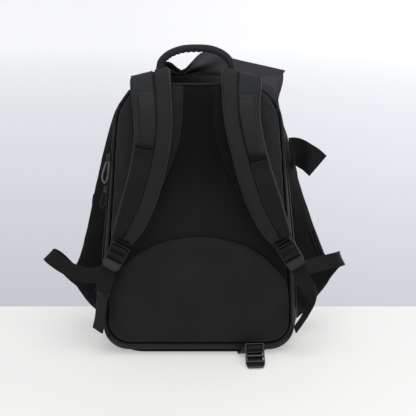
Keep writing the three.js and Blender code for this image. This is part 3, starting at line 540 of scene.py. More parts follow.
def rounded_outline(corners):
    """Points round a closed outline of corners with radii, counterclockwise, with an arc at every corner."""
    arcs = []
    for index, (corner, radius) in enumerate(corners):
        back = (corners[index - 1][0] - corner).normalized()
        on = (corners[(index + 1) % len(corners)][0] - corner).normalized()
        half = back.angle(on) / 2
        middle = corner + (back + on).normalized() * (radius / math.sin(half))
        start = corner + back * (radius / math.tan(half)) - middle
        sweep = math.pi - 2 * half
        arcs.append([
            middle + Matrix.Rotation(sweep * step / ARC_STEPS, 2) @ start for step in range(ARC_STEPS + 1)
        ])
    points = []
    for index, arc in enumerate(arcs):
        next_start = arcs[(index + 1) % len(arcs)][0]
        points += arc
        points += [arc[-1].lerp(next_start, step / STRAIGHT_STEPS) for step in range(1, STRAIGHT_STEPS)]
    return points


def panel_outline(shape):
    """The outline of a panel from its right foot, waist and head corners, as places in X and Z."""
    corners = (shape[corner] for corner in ("foot", "waist", "head"))
    right = [(Vector((x, z)) * MM, radius * MM) for x, z, radius in corners]
    left = [(Vector((-corner.x, corner.y)), radius) for corner, radius in reversed(right)]
    return rounded_outline(right + left)


def outwards_at(outline, index):
    """The direction that points out of an outline at one of its points."""
    ahead = outline[(index + 1) % len(outline)] - outline[index - 1]
    return Vector((ahead.y, -ahead.x)).normalized()


def shaped_grid(name, columns, rows, place_of):
    """A grid of faces whose points are placed by column and row; its UV map is in shares of the grid."""
    bpy.ops.object.select_all(action="DESELECT")
    bpy.ops.mesh.primitive_grid_add(x_subdivisions=columns, y_subdivisions=rows, size=1)
    piece = bpy.context.active_object
    piece.name = name
    for vertex in piece.data.vertices:
        column = round((vertex.co.x + 0.5) * columns)
        row = round((vertex.co.y + 0.5) * rows)
        vertex.co = place_of(column, row)
    return piece


def size_uv(piece, width, length):
    """Stretches the UV map of a grid to the real size of its cloth, in metres."""
    for corner in piece.data.uv_layers.active.data:
        corner.uv = (corner.uv.x * width, corner.uv.y * length)


def close_grid(piece):
    """Merges the edges of a grid that meet and turns its faces outwards."""
    make_active(piece)
    bpy.ops.object.mode_set(mode="EDIT")
    bpy.ops.mesh.select_all(action="SELECT")
    bpy.ops.mesh.remove_doubles(threshold=0.01 * MM)
    bpy.ops.mesh.normals_make_consistent(inside=False)
    bpy.ops.object.mode_set(mode="OBJECT")


def cap_ends(piece):
    """Closes the open ends of a tube."""
    make_active(piece)
    bpy.ops.object.mode_set(mode="EDIT")
    bpy.ops.mesh.select_mode(type="EDGE")
    bpy.ops.mesh.select_all(action="DESELECT")
    bpy.ops.mesh.select_non_manifold(extend=False, use_wire=False, use_multi_face=False, use_verts=False)
    bpy.ops.mesh.fill_holes(sides=0)
    bpy.ops.mesh.select_all(action="SELECT")
    bpy.ops.mesh.normals_make_consistent(inside=False)
    bpy.ops.object.mode_set(mode="OBJECT")


def smooth_faces(piece, degrees=40):
    """Smooth shading, with edges sharper than an angle kept."""
    make_active(piece)
    bpy.ops.object.shade_smooth_by_angle(angle=math.radians(degrees))


piping_cloth = make_cloth(
    "piping_cloth", CANVAS_DARK, (0.0175, 0.018, 0.019, 1), 0.8 * MM, roughness=0.7, sheen=0.06, relief=0.4
)
back_edge = panel_outline(BACK_SHAPE)
PIPING_SIDES = 10


def piping_place(column, row):
    """Round the cord at one point of the panel's edge."""
    index = row % len(back_edge)
    angle = 2 * math.pi * column / PIPING_SIDES
    radius = PIPING_RADIUS + PIPING_RIPPLE * math.sin(1.9 * row)
    point = back_edge[index] + outwards_at(back_edge, index) * (PIPING_STAND + radius * math.cos(angle))
    return point.x, PIPING_DEPTH + radius * math.sin(angle), point.y


piping = shaped_grid("panel_cord_piping", PIPING_SIDES, len(back_edge), piping_place)
close_grid(piping)
smooth_faces(piping)
dress(piping, piping_cloth, "webbing", "panel_piping")

# Gusset: the wall round the rear compartment, a strip of smooth close-woven cloth that flares from the back
# panel to the front. It is sewn to the piping behind, split by the zip along its middle, and bulges a little
# on both sides of it.
RIM_SHAPE = {"foot": (170, 3.5, 48), "waist": (163, 160, 260), "head": (131, 428, 66)}
REAR_RIM = -74 * MM
BEND = -67 * MM
FRONT_RIM = -8 * MM
BEND_SHARE = 0.4
# Depths of the gusset's lines, closer where it rounds over behind the piping
GUSSET_DEPTHS = (-74, -73.6, -72.5, -70.5, -67, -63, -59, -54, -49, -44, -39, -34, -29, -24, -19, -14, -8)
ROUND_OVER = 0.35
GUSSET_THICK = 2 * MM
GUSSET_BULGE = 0.6 * MM
CREASE_DEPTH = 0.5 * MM
CREASE_SCALE = 60
# The height by which the bulge and the creases have their full depth, and where the folds of the head begin
STANDING_HEIGHT = 30 * MM
HEAD_FOLD = 2.6 * MM
HEAD_HEIGHTS = (422, 438)

gusset_cloth = make_cloth(
    "gusset_cloth", (0.0036, 0.0039, 0.0042, 1), (0.0061, 0.0065, 0.007, 1), 0.7 * MM,
    roughness=0.75, sheen=0.04, relief=0.4,
)


def blend_shape(first, second, share):
    """The outline between two panel outlines."""
    return {
        corner: tuple(one + (other - one) * share for one, other in zip(first[corner], second[corner]))
        for corner in first
    }


bend_shape = blend_shape(BACK_SHAPE, RIM_SHAPE, BEND_SHARE)
bend_shape["foot"] = (bend_shape["foot"][0], RIM_SHAPE["foot"][1], bend_shape["foot"][2])
bend_edge = panel_outline(bend_shape)
rim_edge = panel_outline(RIM_SHAPE)


def gusset_line(depth):
    """The gusset's outline at one depth."""
    if depth < BEND:
        share = max(0, (depth - REAR_RIM) / (BEND - REAR_RIM)) ** ROUND_OVER
        return [one.lerp(other, share) for one, other in zip(back_edge, bend_edge)]
    share = (depth - BEND) / (FRONT_RIM - BEND)
    return [one.lerp(other, share) for one, other in zip(bend_edge, rim_edge)]


gusset_lines = [gusset_line(depth * MM) for depth in GUSSET_DEPTHS]


def gusset_place(column, row):
    """On the line at one depth, moved out by the bulge, the creases and the folds of the head."""
    index = row % len(rim_edge)
    depth = GUSSET_DEPTHS[column] * MM
    point = gusset_lines[column][index]
    share = (depth - REAR_RIM) / (FRONT_RIM - REAR_RIM)
    inner = math.sin(math.pi * share)
    bulge = GUSSET_BULGE * abs(math.sin(2 * math.pi * share)) ** 0.7
    crease = CREASE_DEPTH * inner * noise.noise(Vector((point.x, 3 * depth, 0.5 * point.y)) * CREASE_SCALE)
    standing = min(1, max(0, point.y / STANDING_HEIGHT))
    head = HEAD_FOLD * inner * ease(point.y / MM, *HEAD_HEIGHTS)
    fold = head * noise.noise(Vector((12 * point.x, 70 * depth, 2)))
    point = point + outwards_at(gusset_lines[column], index) * (standing * (bulge + crease) + fold)
    return point.x, depth, point.y


gusset = shaped_grid("gusset_wall", len(GUSSET_DEPTHS) - 1, len(rim_edge), gusset_place)
close_grid(gusset)
apply_modifier(gusset, "SOLIDIFY", thickness=GUSSET_THICK, offset=-1)
apply_modifier(gusset, "SUBSURF", levels=1, render_levels=1)
smooth_faces(gusset)
# Painted light: paler at its foot, which faces down into the shade, and at its head, in the shade of the
# straps and handle
paint_light_and_shade(gusset_cloth, (0.028, 0.0288, 0.0304, 1), 34 * MM, 18 * MM)
paint_light_and_shade(gusset_cloth, (0.0062, 0.0065, 0.0069, 1), 428 * MM, 437 * MM)
dress(gusset, gusset_cloth, "gusset_cloth", "gusset")

# Zip: a woven tape sewn along the middle of the gusset, with the two rows of a nylon coil that mesh on its
# middle line. It runs from low on one side over the top to low on the other.
ZIP_DEPTH = -34 * MM
ZIP_END_HEIGHT = 62 * MM
# Lines along the tape from its middle, its rise off the gusset, and how far its two edges lie lower
TAPE_DEPTHS = (-10, -9.6, -7, -4, -3.4, 0, 3.4, 4, 7, 9.6, 10)
TAPE_RISE = 1.9 * MM
TAPE_EDGE_DROP = 0.7 * MM
TAPE_THICK = 0.7 * MM
COIL_RISE = 2 * MM
TOOTH_PITCH = 2.1 * MM
TOOTH_SIZE = (4.42 * MM, 1.2 * MM, 1.3 * MM)
TOOTH_SHIFT = 0.5 * MM

zip_tape_cloth = make_cloth(
    "zip_tape_cloth", (0.0035, 0.0036, 0.0039, 1), (0.0065, 0.0066, 0.007, 1), 0.6 * MM,
    roughness=0.8, sheen=0.03, relief=0.5, lint=0.1,
)
zip_middle = gusset_line(ZIP_DEPTH)
zip_rows = [index for index, point in enumerate(zip_middle) if point.y > ZIP_END_HEIGHT]
tape_lines = [gusset_line(ZIP_DEPTH + depth * MM) for depth in TAPE_DEPTHS]


def tape_place(column, row):
    """On one of the tape's lines, lower at its two edges."""
    line = tape_lines[column]
    index = zip_rows[row]
    is_edge = column in (0, len(TAPE_DEPTHS) - 1)
    point = line[index] + outwards_at(line, index) * (TAPE_RISE - (TAPE_EDGE_DROP if is_edge else 0))
    return point.x, ZIP_DEPTH + TAPE_DEPTHS[column] * MM, point.y


tape = shaped_grid("zip_tape", len(TAPE_DEPTHS) - 1, len(zip_rows) - 1, tape_place)
apply_modifier(tape, "SOLIDIFY", thickness=TAPE_THICK, offset=0)
smooth_faces(tape)
dress(tape, zip_tape_cloth, "zip", "zip")


def even_line(points, spacing):
    """Places at an even spacing along a line of points, each with the direction of the line there."""
    places = []
    travelled = 0.0
    wanted = 0.0
    for start, end in zip(points, points[1:]):
        length = (end - start).length
        while wanted <= travelled + length:
            places.append((start.lerp(end, (wanted - travelled) / length), (end - start) / length))
            wanted += spacing
        travelled += length
    return places


def copy_mesh_to(name, shape, matrices):
    """One object made of many placed copies of a small shape, which is then removed."""
    count = len(shape.data.vertices)
    corners = [vertex.co.copy() for vertex in shape.data.vertices]
    faces = [tuple(face.vertices) for face in shape.data.polygons]
    bpy.data.objects.remove(shape)
    mesh = bpy.data.meshes.new(name)
    mesh.from_pydata(
        [matrix @ corner for matrix in matrices for corner in corners],
        [],
        [tuple(corner + copy * count for corner in face) for copy in range(len(matrices)) for face in faces],
    )
    piece = bpy.data.objects.new(name, mesh)
    bpy.context.scene.collection.objects.link(piece)
    return piece


def standing_matrix(place, along, out, size):
    """The place and turn of a small shape: its X across, its Y along and its Z out."""
    along = along.normalized()
    out = (out - along * out.dot(along)).normalized()
    turn = Matrix((along.cross(out), along, out)).transposed().to_4x4()
    return Matrix.Translation(place) @ turn @ Matrix.Diagonal((*size, 1))


def small_block(bevel):
    """A unit block with rounded edges, the start of teeth and stitches."""
    bpy.ops.object.select_all(action="DESELECT")
    bpy.ops.mesh.primitive_cube_add(size=1)
    block = bpy.context.active_object
    bpy.ops.object.mode_set(mode="EDIT")
    bpy.ops.mesh.bevel(offset=bevel, segments=1, affect="EDGES")
    bpy.ops.object.mode_set(mode="OBJECT")
    return block


# The pale tone of black plastic's edges, partly rubbed wear and partly a painted highlight, and how sharp
# such an edge is
EDGE_WEAR_AND_HIGHLIGHT_TONE = (0.036, 0.037, 0.039, 1)
EDGE_WEAR_AND_HIGHLIGHT_RANGE = (0.55, 0.66)
GRAIN_SCALE = 2200.0
GRAIN_DEPTH = 0.1 * MM
SMEAR_SCALE = 120.0
PLASTIC_SPECULAR = 0.35


def make_plastic(name, colour, wear_and_highlight_colour, roughness, grain):
    """Moulded black plastic: a fine grain in its gloss, paler on its edges with rubbed wear and a painted
    highlight.
    """
    material, tree, shader = new_material(name)
    vector = own_coordinates(tree)
    spark = add_node(tree, "ShaderNodeTexNoise", {"Vector": vector, "Scale": GRAIN_SCALE, "Detail": 2.0})
    smear = add_node(tree, "ShaderNodeTexNoise", {"Vector": vector, "Scale": SMEAR_SCALE, "Detail": 3.0})
    edge = map_range(tree, add_node(tree, "ShaderNodeNewGeometry", {}).outputs["Pointiness"], EDGE_WEAR_AND_HIGHLIGHT_RANGE)
    standing = {"Height": spark.outputs[0], "Strength": grain, "Distance": GRAIN_DEPTH}
    set_inputs(tree, shader, {
        "Base Color": mix_colours(tree, edge, colour, wear_and_highlight_colour),
        "Roughness": map_range(tree, smear.outputs[0], target=(roughness - 0.08, roughness + 0.1)),
        "Normal": add_node(tree, "ShaderNodeBump", standing).outputs[0],
        "Specular IOR Level": PLASTIC_SPECULAR,
    })
    return material


zip_plastic = make_plastic("zip_plastic", (0.008, 0.008, 0.0085, 1), EDGE_WEAR_AND_HIGHLIGHT_TONE, roughness=0.4, grain=0.2)
zip_course = []
for index in zip_rows:
    point = zip_middle[index] + outwards_at(zip_middle, index) * COIL_RISE
    zip_course.append(Vector((point.x, ZIP_DEPTH, point.y)))
tooth_matrices = []
for number, (place, along) in enumerate(even_line(zip_course, TOOTH_PITCH)):
    out = Vector((along.z, 0, -along.x))
    shift = TOOTH_SHIFT if number % 2 else -TOOTH_SHIFT
    tooth_matrices.append(standing_matrix(place + Vector((0, shift, 0)), along, out, TOOTH_SIZE))
teeth = copy_mesh_to("zip_coil", small_block(0.24), tooth_matrices)
smooth_faces(teeth)
dress(teeth, zip_plastic, "zip")

# Two zip sliders on the left, one above the other: a cast body astride the coil with a bridge on top. A loop
# of braided cord hangs from each bridge as its pull, the upper one in a paler grey.
SLIDER_HEIGHTS = {"upper": 322 * MM, "lower": 269 * MM}
SLIDER_HALF = 6 * MM
SLIDER_STAND = 3.4 * MM
SLIDER_BLOCKS = (
    # width, length and height, then how far along and out the block's middle is
    (8.6, 11.6, 1.5, 0, 0.6),
    (8.2, 11.2, 1.5, 0, 3.2),
    (2.6, 4.0, 3.4, 3.4, 1.9),
    (2.2, 2.0, 1.6, 3.8, 4.6),
    (2.2, 2.0, 1.6, -3.8, 4.6),
    (2.2, 9.6, 1.1, 0, 5.3),
)
PULL_RADIUS = 1.5 * MM
# Distance off the gusset, depth from the zip's line and height from the slider's foot
PULL_ROUTES = {
    "upper": (
        (4.7, -2, -0.5), (3.8, -6, -13), (4, -7, -27), (8.2, -7, -35), (12.4, -7, -28), (11.6, -5, -14),
        (8.2, -2, -0.5),
    ),
    "lower": (
        (4.7, -2, -0.5), (3.9, -5.5, -9), (4, -6, -18), (7.6, -6, -25), (11.2, -6, -18), (10.8, -4, -9),
        (8.2, -2, -0.5),
    ),
}
PULL_COLOURS = {
    "upper": ((0.09, 0.092, 0.096, 1), (0.17, 0.172, 0.178, 1)),
    "lower": (CANVAS_DARK, CANVAS_LIGHT),
}
PULL_STEPS = 48
PULL_SIDES = 12
BRAID_RELIEF = 0.05
BRAID_TURN = 1.4


def rounded_block(size, place, bevel, segments=2):
    """A block of a size at a place, its edges rounded."""
    bpy.ops.object.select_all(action="DESELECT")
    bpy.ops.mesh.primitive_cube_add(size=1, location=place)
    block = bpy.context.active_object
    block.scale = size
    bpy.ops.object.transform_apply(location=True, rotation=False, scale=True)
    bpy.ops.object.mode_set(mode="EDIT")
    bpy.ops.mesh.bevel(offset=bevel, segments=segments, affect="EDGES")
    bpy.ops.object.mode_set(mode="OBJECT")
    return block


def join_pieces(name, pieces):
    """Joins objects into one mesh."""
    make_active(pieces[0])
    for piece in pieces:
        piece.select_set(True)
    bpy.ops.object.join()
    pieces[0].name = name
    return pieces[0]


def left_edge(height):
    """Where the zip's line crosses one height on the left of the gusset."""
    left = sorted((point for point in zip_middle if point.x < 0), key=lambda point: point.y)
    above = next(index for index, point in enumerate(left) if point.y >= height)
    low, high = left[above - 1], left[above]
    return low.lerp(high, (height - low.y) / (high.y - low.y)).x


def smooth_point(points, share):
    """A place on the smooth line through points, which keeps close to them at tight turns."""
    place = share * (len(points) - 1)
    index = min(int(place), len(points) - 2)
    weight = place - index
    here, there = points[index], points[index + 1]
    before = points[index - 1] if index > 0 else 2 * here - there
    after = points[index + 2] if index + 2 < len(points) else 2 * there - here
    first = (here - before).length ** 0.5
    second = (there - here).length ** 0.5
    third = (after - there).length ** 0.5
    step = there - here
    leaving = ((here - before) / first - (there - before) / (first + second)) * second + step
    arriving = ((after - there) / third - (after - here) / (second + third)) * second + step
    curve = 3 * step - 2 * leaving - arriving
    twist = leaving + arriving - 2 * step
    return here + leaving * weight + curve * weight ** 2 + twist * weight ** 3


def course_of(points, steps):
    """Places along the smooth line through points, each with the line's direction."""
    course = []
    for step in range(steps + 1):
        share = step / steps
        ahead = smooth_point(points, min(1, share + 0.002)) - smooth_point(points, max(0, share - 0.002))
        course.append((smooth_point(points, share), ahead.normalized()))
    return course


def make_tube(name, course, radius_of, sides, first_side):
    """A tube along a course; its radius may change with the step and the angle round it."""
    frames = []
    side = Vector(first_side)
    for point, along in course:
        side = (side - along * side.dot(along)).normalized()
        frames.append((point, side.copy(), along.cross(side)))

    def tube_place(column, row):
        point, one, other = frames[row]
        angle = 2 * math.pi * column / sides
        radius = radius_of(row, angle)
        return point + one * radius * math.cos(angle) + other * radius * math.sin(angle)

    tube = shaped_grid(name, sides, len(course) - 1, tube_place)
    length = sum((end[0] - start[0]).length for start, end in zip(course, course[1:]))
    size_uv(tube, 2 * math.pi * radius_of(0, 0), length)
    close_grid(tube)
    cap_ends(tube)
    smooth_faces(tube, 60)
    return tube, length


slider_plastic = make_plastic(
    "slider_enamel", (0.045, 0.046, 0.049, 1), EDGE_WEAR_AND_HIGHLIGHT_TONE, roughness=0.32, grain=0.1
)


def braid_radius(row, angle):
    """The cord's radius, with the strands of its braid in relief."""
    strands = math.sin(3 * angle + BRAID_TURN * row) * math.sin(3 * angle - BRAID_TURN * row)
    return PULL_RADIUS * (1 + BRAID_RELIEF * strands)


for which, height in SLIDER_HEIGHTS.items():
    blocks = [
        rounded_block(Vector(size) * MM, Vector((0, along, out)) * MM, 0.35 * MM)
        for *size, along, out in SLIDER_BLOCKS
    ]
    slider = join_pieces(f"zip_slider_body_{which}", blocks)
    top, foot = left_edge(height + SLIDER_HALF), left_edge(height - SLIDER_HALF)
    along = Vector((top - foot, 0, 2 * SLIDER_HALF))
    middle = Vector((left_edge(height) - SLIDER_STAND, ZIP_DEPTH, height))
    slider.data.transform(standing_matrix(middle, along, Vector((-1, 0, 0)), (1, 1, 1)))
    smooth_faces(slider)
    dress(slider, slider_plastic, "plastic", f"zip_slider_{which}")

    route = []
    for stand, depth, fall in PULL_ROUTES[which]:
        level = height - SLIDER_HALF + fall * MM
        route.append(Vector((left_edge(level) - stand * MM, ZIP_DEPTH + depth * MM, level)))
    course = course_of(route, PULL_STEPS)
    pull, length = make_tube(f"zip_pull_cord_{which}", course, braid_radius, PULL_SIDES, (0, 1, 0))
    dark, light = PULL_COLOURS[which]
    pull_cord = make_cloth(
        f"pull_cord_{which}", dark, light, 1.1 * MM,
        roughness=0.65, sheen=0.1, relief=0.8, lint=0, coordinates="UV",
    )
    dress(pull, pull_cord, "cord", f"zip_pull_{which}")

# Divider and base: a flat cloth wall between the two compartments, and a stiffened canvas floor under both,
# with its edge turned under. The divider's head stands a little above the gusset.
DRAPE_DARK = (0.0021, 0.0022, 0.0025, 1)
DRAPE_LIGHT = (0.004, 0.0041, 0.0045, 1)
DRAPE_PITCH = 0.8 * MM
# A paler tone that paints light on the upper drape and the hood
HOOD_PAINTED_LIGHT_TONE = (0.038, 0.0385, 0.0412, 1)
drape_cloth = make_cloth(
    "drape_cloth", DRAPE_DARK, DRAPE_LIGHT, DRAPE_PITCH, roughness=0.85, sheen=0.01, relief=0.45
)
# Painted light: the drape's cloth passes into the paler tone towards its top, the rear and the right, where
# the inside of the mouth is lit
paint_light_and_shade(drape_cloth, HOOD_PAINTED_LIGHT_TONE, 440 * MM, 490 * MM, (0.4, -1, 1))
# How far the cloth's upper left corner is drawn in, and how far its right edge is below the hood
CORNER_TUCK = 6 * MM
EDGE_TUCK = 5 * MM
EDGE_FLARE = 9 * MM
# How far the divider's head sags, and how much thicker it is where the seams on both its sides lap over it
DIVIDER_DROP = 4 * MM
DIVIDER_DEPTH = -7.5 * MM
SEAM_LAP = 1.7


def tuck_corners(piece):
    """Draws in the upper corners, where the straps' ends pull on the cloth; the right one flares above."""
    for vertex in piece.data.vertices:
        height = vertex.co.z / MM
        tuck = CORNER_TUCK * ease(-vertex.co.x / MM, 80, 112) * ease(height, 385, 425)
        lean = EDGE_FLARE * ease(height, 398, 450) - EDGE_TUCK * ease(height, 345, 395)
        vertex.co.x += tuck + lean * ease(vertex.co.x / MM, 100, 132)
        vertex.co.z -= 0.7 * tuck


divider = cad_copy("divider_panel", "divider_cloth")
tuck_corners(divider)
for vertex in divider.data.vertices:
    vertex.co.z -= DIVIDER_DROP * ease(vertex.co.z / MM, 432, 442)
    vertex.co.y = DIVIDER_DEPTH + SEAM_LAP * (vertex.co.y - DIVIDER_DEPTH)
apply_modifier(divider, "BEVEL", width=0.7 * MM, segments=2, limit_method="ANGLE")
smooth_faces(divider)
dress(divider, drape_cloth, "drape_cloth", "divider_panel")
base = cad_copy("base_panel", "stiffened_base")
apply_modifier(base, "BEVEL", width=0.9 * MM, segments=3, limit_method="ANGLE")
smooth_faces(base)
dress(base, canvas, "canvas", "base_panel")

# Draped front compartment: one wide cut of matte cloth, sewn to the divider's edge at both sides and to the
# base below. There is more of it than the pack needs, so it hangs in soft folds out to a turned edge on each
# side.
DRAPE_MIDDLE = Vector((0, 30 * MM, 0))
DRAPE_SEAM_DEPTH = -2.5 * MM
DRAPE_FOOT = 4 * MM
DRAPE_RIM = 451.5 * MM
# What is left of the cloth's moves inwards: the compartment holds it out
HELD_OUT_SHARE = 0.35
DRAPE_THICK = 1.6 * MM


def keep_faces(piece, is_kept):
    """Deletes the faces of a piece that a test doesn't keep."""
    make_active(piece)
    bpy.context.tool_settings.mesh_select_mode = (False, False, True)
    bpy.ops.object.mode_set(mode="EDIT")
    bpy.ops.mesh.select_all(action="DESELECT")
    bpy.ops.object.mode_set(mode="OBJECT")
    for face in piece.data.polygons:
        face.select = not is_kept(face)
    bpy.ops.object.mode_set(mode="EDIT")
    bpy.ops.mesh.delete(type="FACE")
    bpy.ops.object.mode_set(mode="OBJECT")


def is_drape_outside(face):
    """True for the outer skin, without the cut edges at the rim, the foot and the seams."""
    outwards = face.center - DRAPE_MIDDLE
    outwards.z = 0
    is_rim = abs(face.normal.z) > 0.97
    is_seam = face.center.y < -4.5 * MM and face.normal.y < -0.9
    return face.normal.dot(outwards) > 0 and not is_rim and not is_seam


def slacken(piece, slack, gravity, steps, cap, is_sewn):
    """Lets a sheet that is larger than its outline buckle and hang, held along its seams."""
    cloth = piece.modifiers.new("cloth", "CLOTH")
    settings = cloth.settings
    settings.vertex_group_mass = sew_down(piece, is_sewn)
    settings.shrink_min = -slack
    settings.mass = 0.25
    settings.tension_stiffness = 25
    settings.compression_stiffness = 25
    settings.shear_stiffness = 10
    settings.bending_stiffness = 1.5
    settings.effector_weights.gravity = gravity
    simulate(piece, cloth, steps, cap, HELD_OUT_SHARE)


drape = cad_copy("front_shell", "draped_front")
keep_faces(drape, is_drape_outside)
apply_modifier(drape, "SUBSURF", levels=2, render_levels=2)


def is_drape_sewn(vertex):
    """True along the seams, the rim and the turned edges of the sides, which the cloth hangs between."""
    place = vertex.co
    is_edge = abs(vertex.normal.x) > 0.93
    return is_edge or place.y < DRAPE_SEAM_DEPTH or place.z < DRAPE_FOOT or place.z > DRAPE_RIM


slacken(drape, slack=0.05, gravity=0.5, steps=24, cap=9 * MM, is_sewn=is_drape_sewn)
apply_modifier(drape, "SMOOTH", factor=0.4, iterations=2)
apply_modifier(drape, "SUBSURF", levels=1, render_levels=1)
apply_modifier(drape, "SOLIDIFY", thickness=DRAPE_THICK, offset=-1)
tuck_corners(drape)
smooth_faces(drape, 60)
dress(drape, drape_cloth, "drape_cloth", "front_shell")

# Hood: the tall lip of the mouth, of the same cloth, with a cut upper edge; its rear face has painted shade
# at its foot and painted light above. It stands up behind the straps on the right, and folds run out across
# it from the notch at its left.
# Places along it from the left: its foot inside the drape's rim, then its upper edge
HOOD_COLUMNS = (
    (-73, 46, 443, -66, 54, 468),
    (-51, 50, 443, -50, 58, 471),
    (-30, 49, 443, -29, 57, 457.5),
    (-5, 48, 443, 7, 61, 487),
    (40, 50, 443, 42, 63, 480),
    (84, 46, 443, 76, 59, 472),
    (116, 41, 443, 112, 51, 464.5),
    (135, 38, 443, 145, 41, 457.5),
)
HOOD_NOTCH = Vector((-28, 0, 450)) * MM
HOOD_STEPS = 130
HOOD_RISE = 26
# The folds' depth and how many a full turn would hold; distances from the notch where they begin and fade out
HOOD_FOLD = 4 * MM
HOOD_FOLDS = 10
FOLDS_BEGIN = (5 * MM, 35 * MM)
FOLDS_END = (160 * MM, 40 * MM)
HOOD_COCKLE = 1.2 * MM
hood_cloth_painted_light_and_shade = make_cloth(
    "hood_cloth_painted_light_and_shade", DRAPE_DARK, DRAPE_LIGHT, DRAPE_PITCH, roughness=0.8, sheen=0.05, relief=0.45
)
# Painted light and shade: dark at the hood's foot in the shade of the handle and straps, paler above where it
# is lit
paint_light_and_shade(hood_cloth_painted_light_and_shade, HOOD_PAINTED_LIGHT_TONE, 454 * MM, 472 * MM, (0.18, 0, 1))
hood_feet = [Vector(column[0:3]) * MM for column in HOOD_COLUMNS]
hood_tops = [Vector(column[3:6]) * MM for column in HOOD_COLUMNS]


def hood_place(column, row):
    """Between its foot and its upper edge, with folds that run out from the notch."""
    share = column / HOOD_STEPS
    height = row / HOOD_RISE
    place = smooth_point(hood_feet, share).lerp(smooth_point(hood_tops, share), height)
    reach = place - HOOD_NOTCH
    angle = math.atan2(reach.z, reach.x)
    fade = ease(reach.length, *FOLDS_BEGIN) * ease(reach.length, *FOLDS_END) * ease(height, 0, 0.35)
    cockle = HOOD_COCKLE * height * noise.noise(place * 28)
    place.y += HOOD_FOLD * fade * math.sin(HOOD_FOLDS * angle) + cockle
    return place


hood = shaped_grid("standing_hood", HOOD_STEPS, HOOD_RISE, hood_place)
apply_modifier(hood, "SOLIDIFY", thickness=DRAPE_THICK, offset=0)
apply_modifier(
    hood, "BEVEL", width=0.5 * MM, segments=2, limit_method="ANGLE", angle_limit=math.radians(60)
)
smooth_faces(hood, 60)
dress(hood, hood_cloth_painted_light_and_shade, "drape_cloth", "hood")
# The face towards the front is the drape's own cloth
hood.data.materials.append(drape_cloth)
for face in hood.data.polygons:
    if face.normal.y > 0:
        face.material_index = 1

# Closing tab: a strip of the drape's cloth doubled and hemmed, sewn by its root to the right side of the
# drape. It stands off and folds back at its free end, which is paler with painted light.
TAB_WIDTH = 45 * MM
TAB_THICK = 2 * MM
TAB_COCKLE = 0.7 * MM
TAB_COLUMNS = 16
TAB_STEPS = 40
# Place, then the direction across the strip
TAB_ROWS = (
    (153.5, 8, 326, -0.25, 0, 0.97),
    (161.2, 19, 325, -0.29, 0, 0.96),
    (169.5, 23, 321.5, -0.08, 0, 1),
    (178, 25, 316, 0.4, 0, 0.92),
    (188, 18, 310.5, 0.5, 0, 0.86),
    (200, 10, 300.5, 0.58, 0, 0.81),
)


def ribbon_frames(rows, steps):
    """Places along a ribbon, each with its directions across, along and out of the ribbon."""
    points = [Vector(row[0:3]) for row in rows]
    frames = []
    for step, (point, along) in enumerate(course_of(points, steps)):
        place = step / steps * (len(rows) - 1)
        index = min(int(place), len(rows) - 2)
        across = Vector(rows[index][3:6]).lerp(Vector(rows[index + 1][3:6]), place - index)
        across = (across - along * across.dot(along)).normalized()
        frames.append((point, across, along, across.cross(along)))
    return frames


def make_ribbon(name, frames, columns, across_of, out_of, thick):
    """A strip along frames with thickness; across and out place each column at each step."""
    def ribbon_place(column, row):
        point, across, along, out = frames[row]
        share = 2 * column / columns - 1
        return point + across * across_of(share, row) + out * out_of(share, row)

    strip = shaped_grid(name, columns, len(frames) - 1, ribbon_place)
    length = sum((end[0] - start[0]).length for start, end in zip(frames, frames[1:]))
    size_uv(strip, across_of(1, 0) - across_of(-1, 0), length)
    apply_modifier(strip, "SOLIDIFY", thickness=thick, offset=0)
    apply_modifier(
        strip, "BEVEL", width=0.3 * thick, segments=2, limit_method="ANGLE", angle_limit=math.radians(60)
    )
    smooth_faces(strip, 50)
    return strip


def in_metres(rows):
    """Rows of a route in millimetres, with their places in metres."""
    return [tuple(value * MM for value in row[0:3]) + tuple(row[3:6]) for row in rows]


tab_frames = ribbon_frames(in_metres(TAB_ROWS), TAB_STEPS)


def tab_out(share, row):
    """A little cockle along its length, less towards its free end."""
    cockle = TAB_COCKLE * noise.noise(Vector((share, 0.16 * row, 3)))
    return cockle * (1 - row / TAB_STEPS * 0.3)


tab = make_ribbon(
    "folded_tab", tab_frames, TAB_COLUMNS, lambda share, row: share * TAB_WIDTH / 2, tab_out, TAB_THICK
)
tab_cloth_painted_light = make_cloth(
    "tab_cloth_painted_light", DRAPE_DARK, DRAPE_LIGHT, DRAPE_PITCH, roughness=0.8, sheen=0.03, relief=0.45
)
# Painted light: paler towards the tab's free end, which turns up to the light
paint_light_and_shade(tab_cloth_painted_light, (0.0105, 0.0107, 0.0114, 1), 178 * MM, 192 * MM, (1, 0, 0))
dress(tab, tab_cloth_painted_light, "drape_cloth", "closing_tab")

# Shoulder straps: contoured foam between two faces of canvas, sewn into the top of the gusset and curving
# down the back. A folded tape binds both edges of each.
STRAP_THICK = 9 * MM
STRAP_END_THICK = 4 * MM
# Share of its length after which a strap grows thin
STRAP_TAPER_FROM = 40 / 45
STRAP_STEPS = 135
STRAP_SIDES = 28
# Powers that square the strap's section and crown its faces, and how unevenly its foam fills it
STRAP_SQUARE = 0.28
STRAP_CROWN = 0.75
STRAP_PUFF = 0.12
BINDING_WIDTH = 4.2 * MM
BINDING_THICK = 0.7 * MM
BINDING_STAND = 0.5 * MM
BINDING_CRIMP = 0.15 * MM
BINDING_COLUMNS = 10
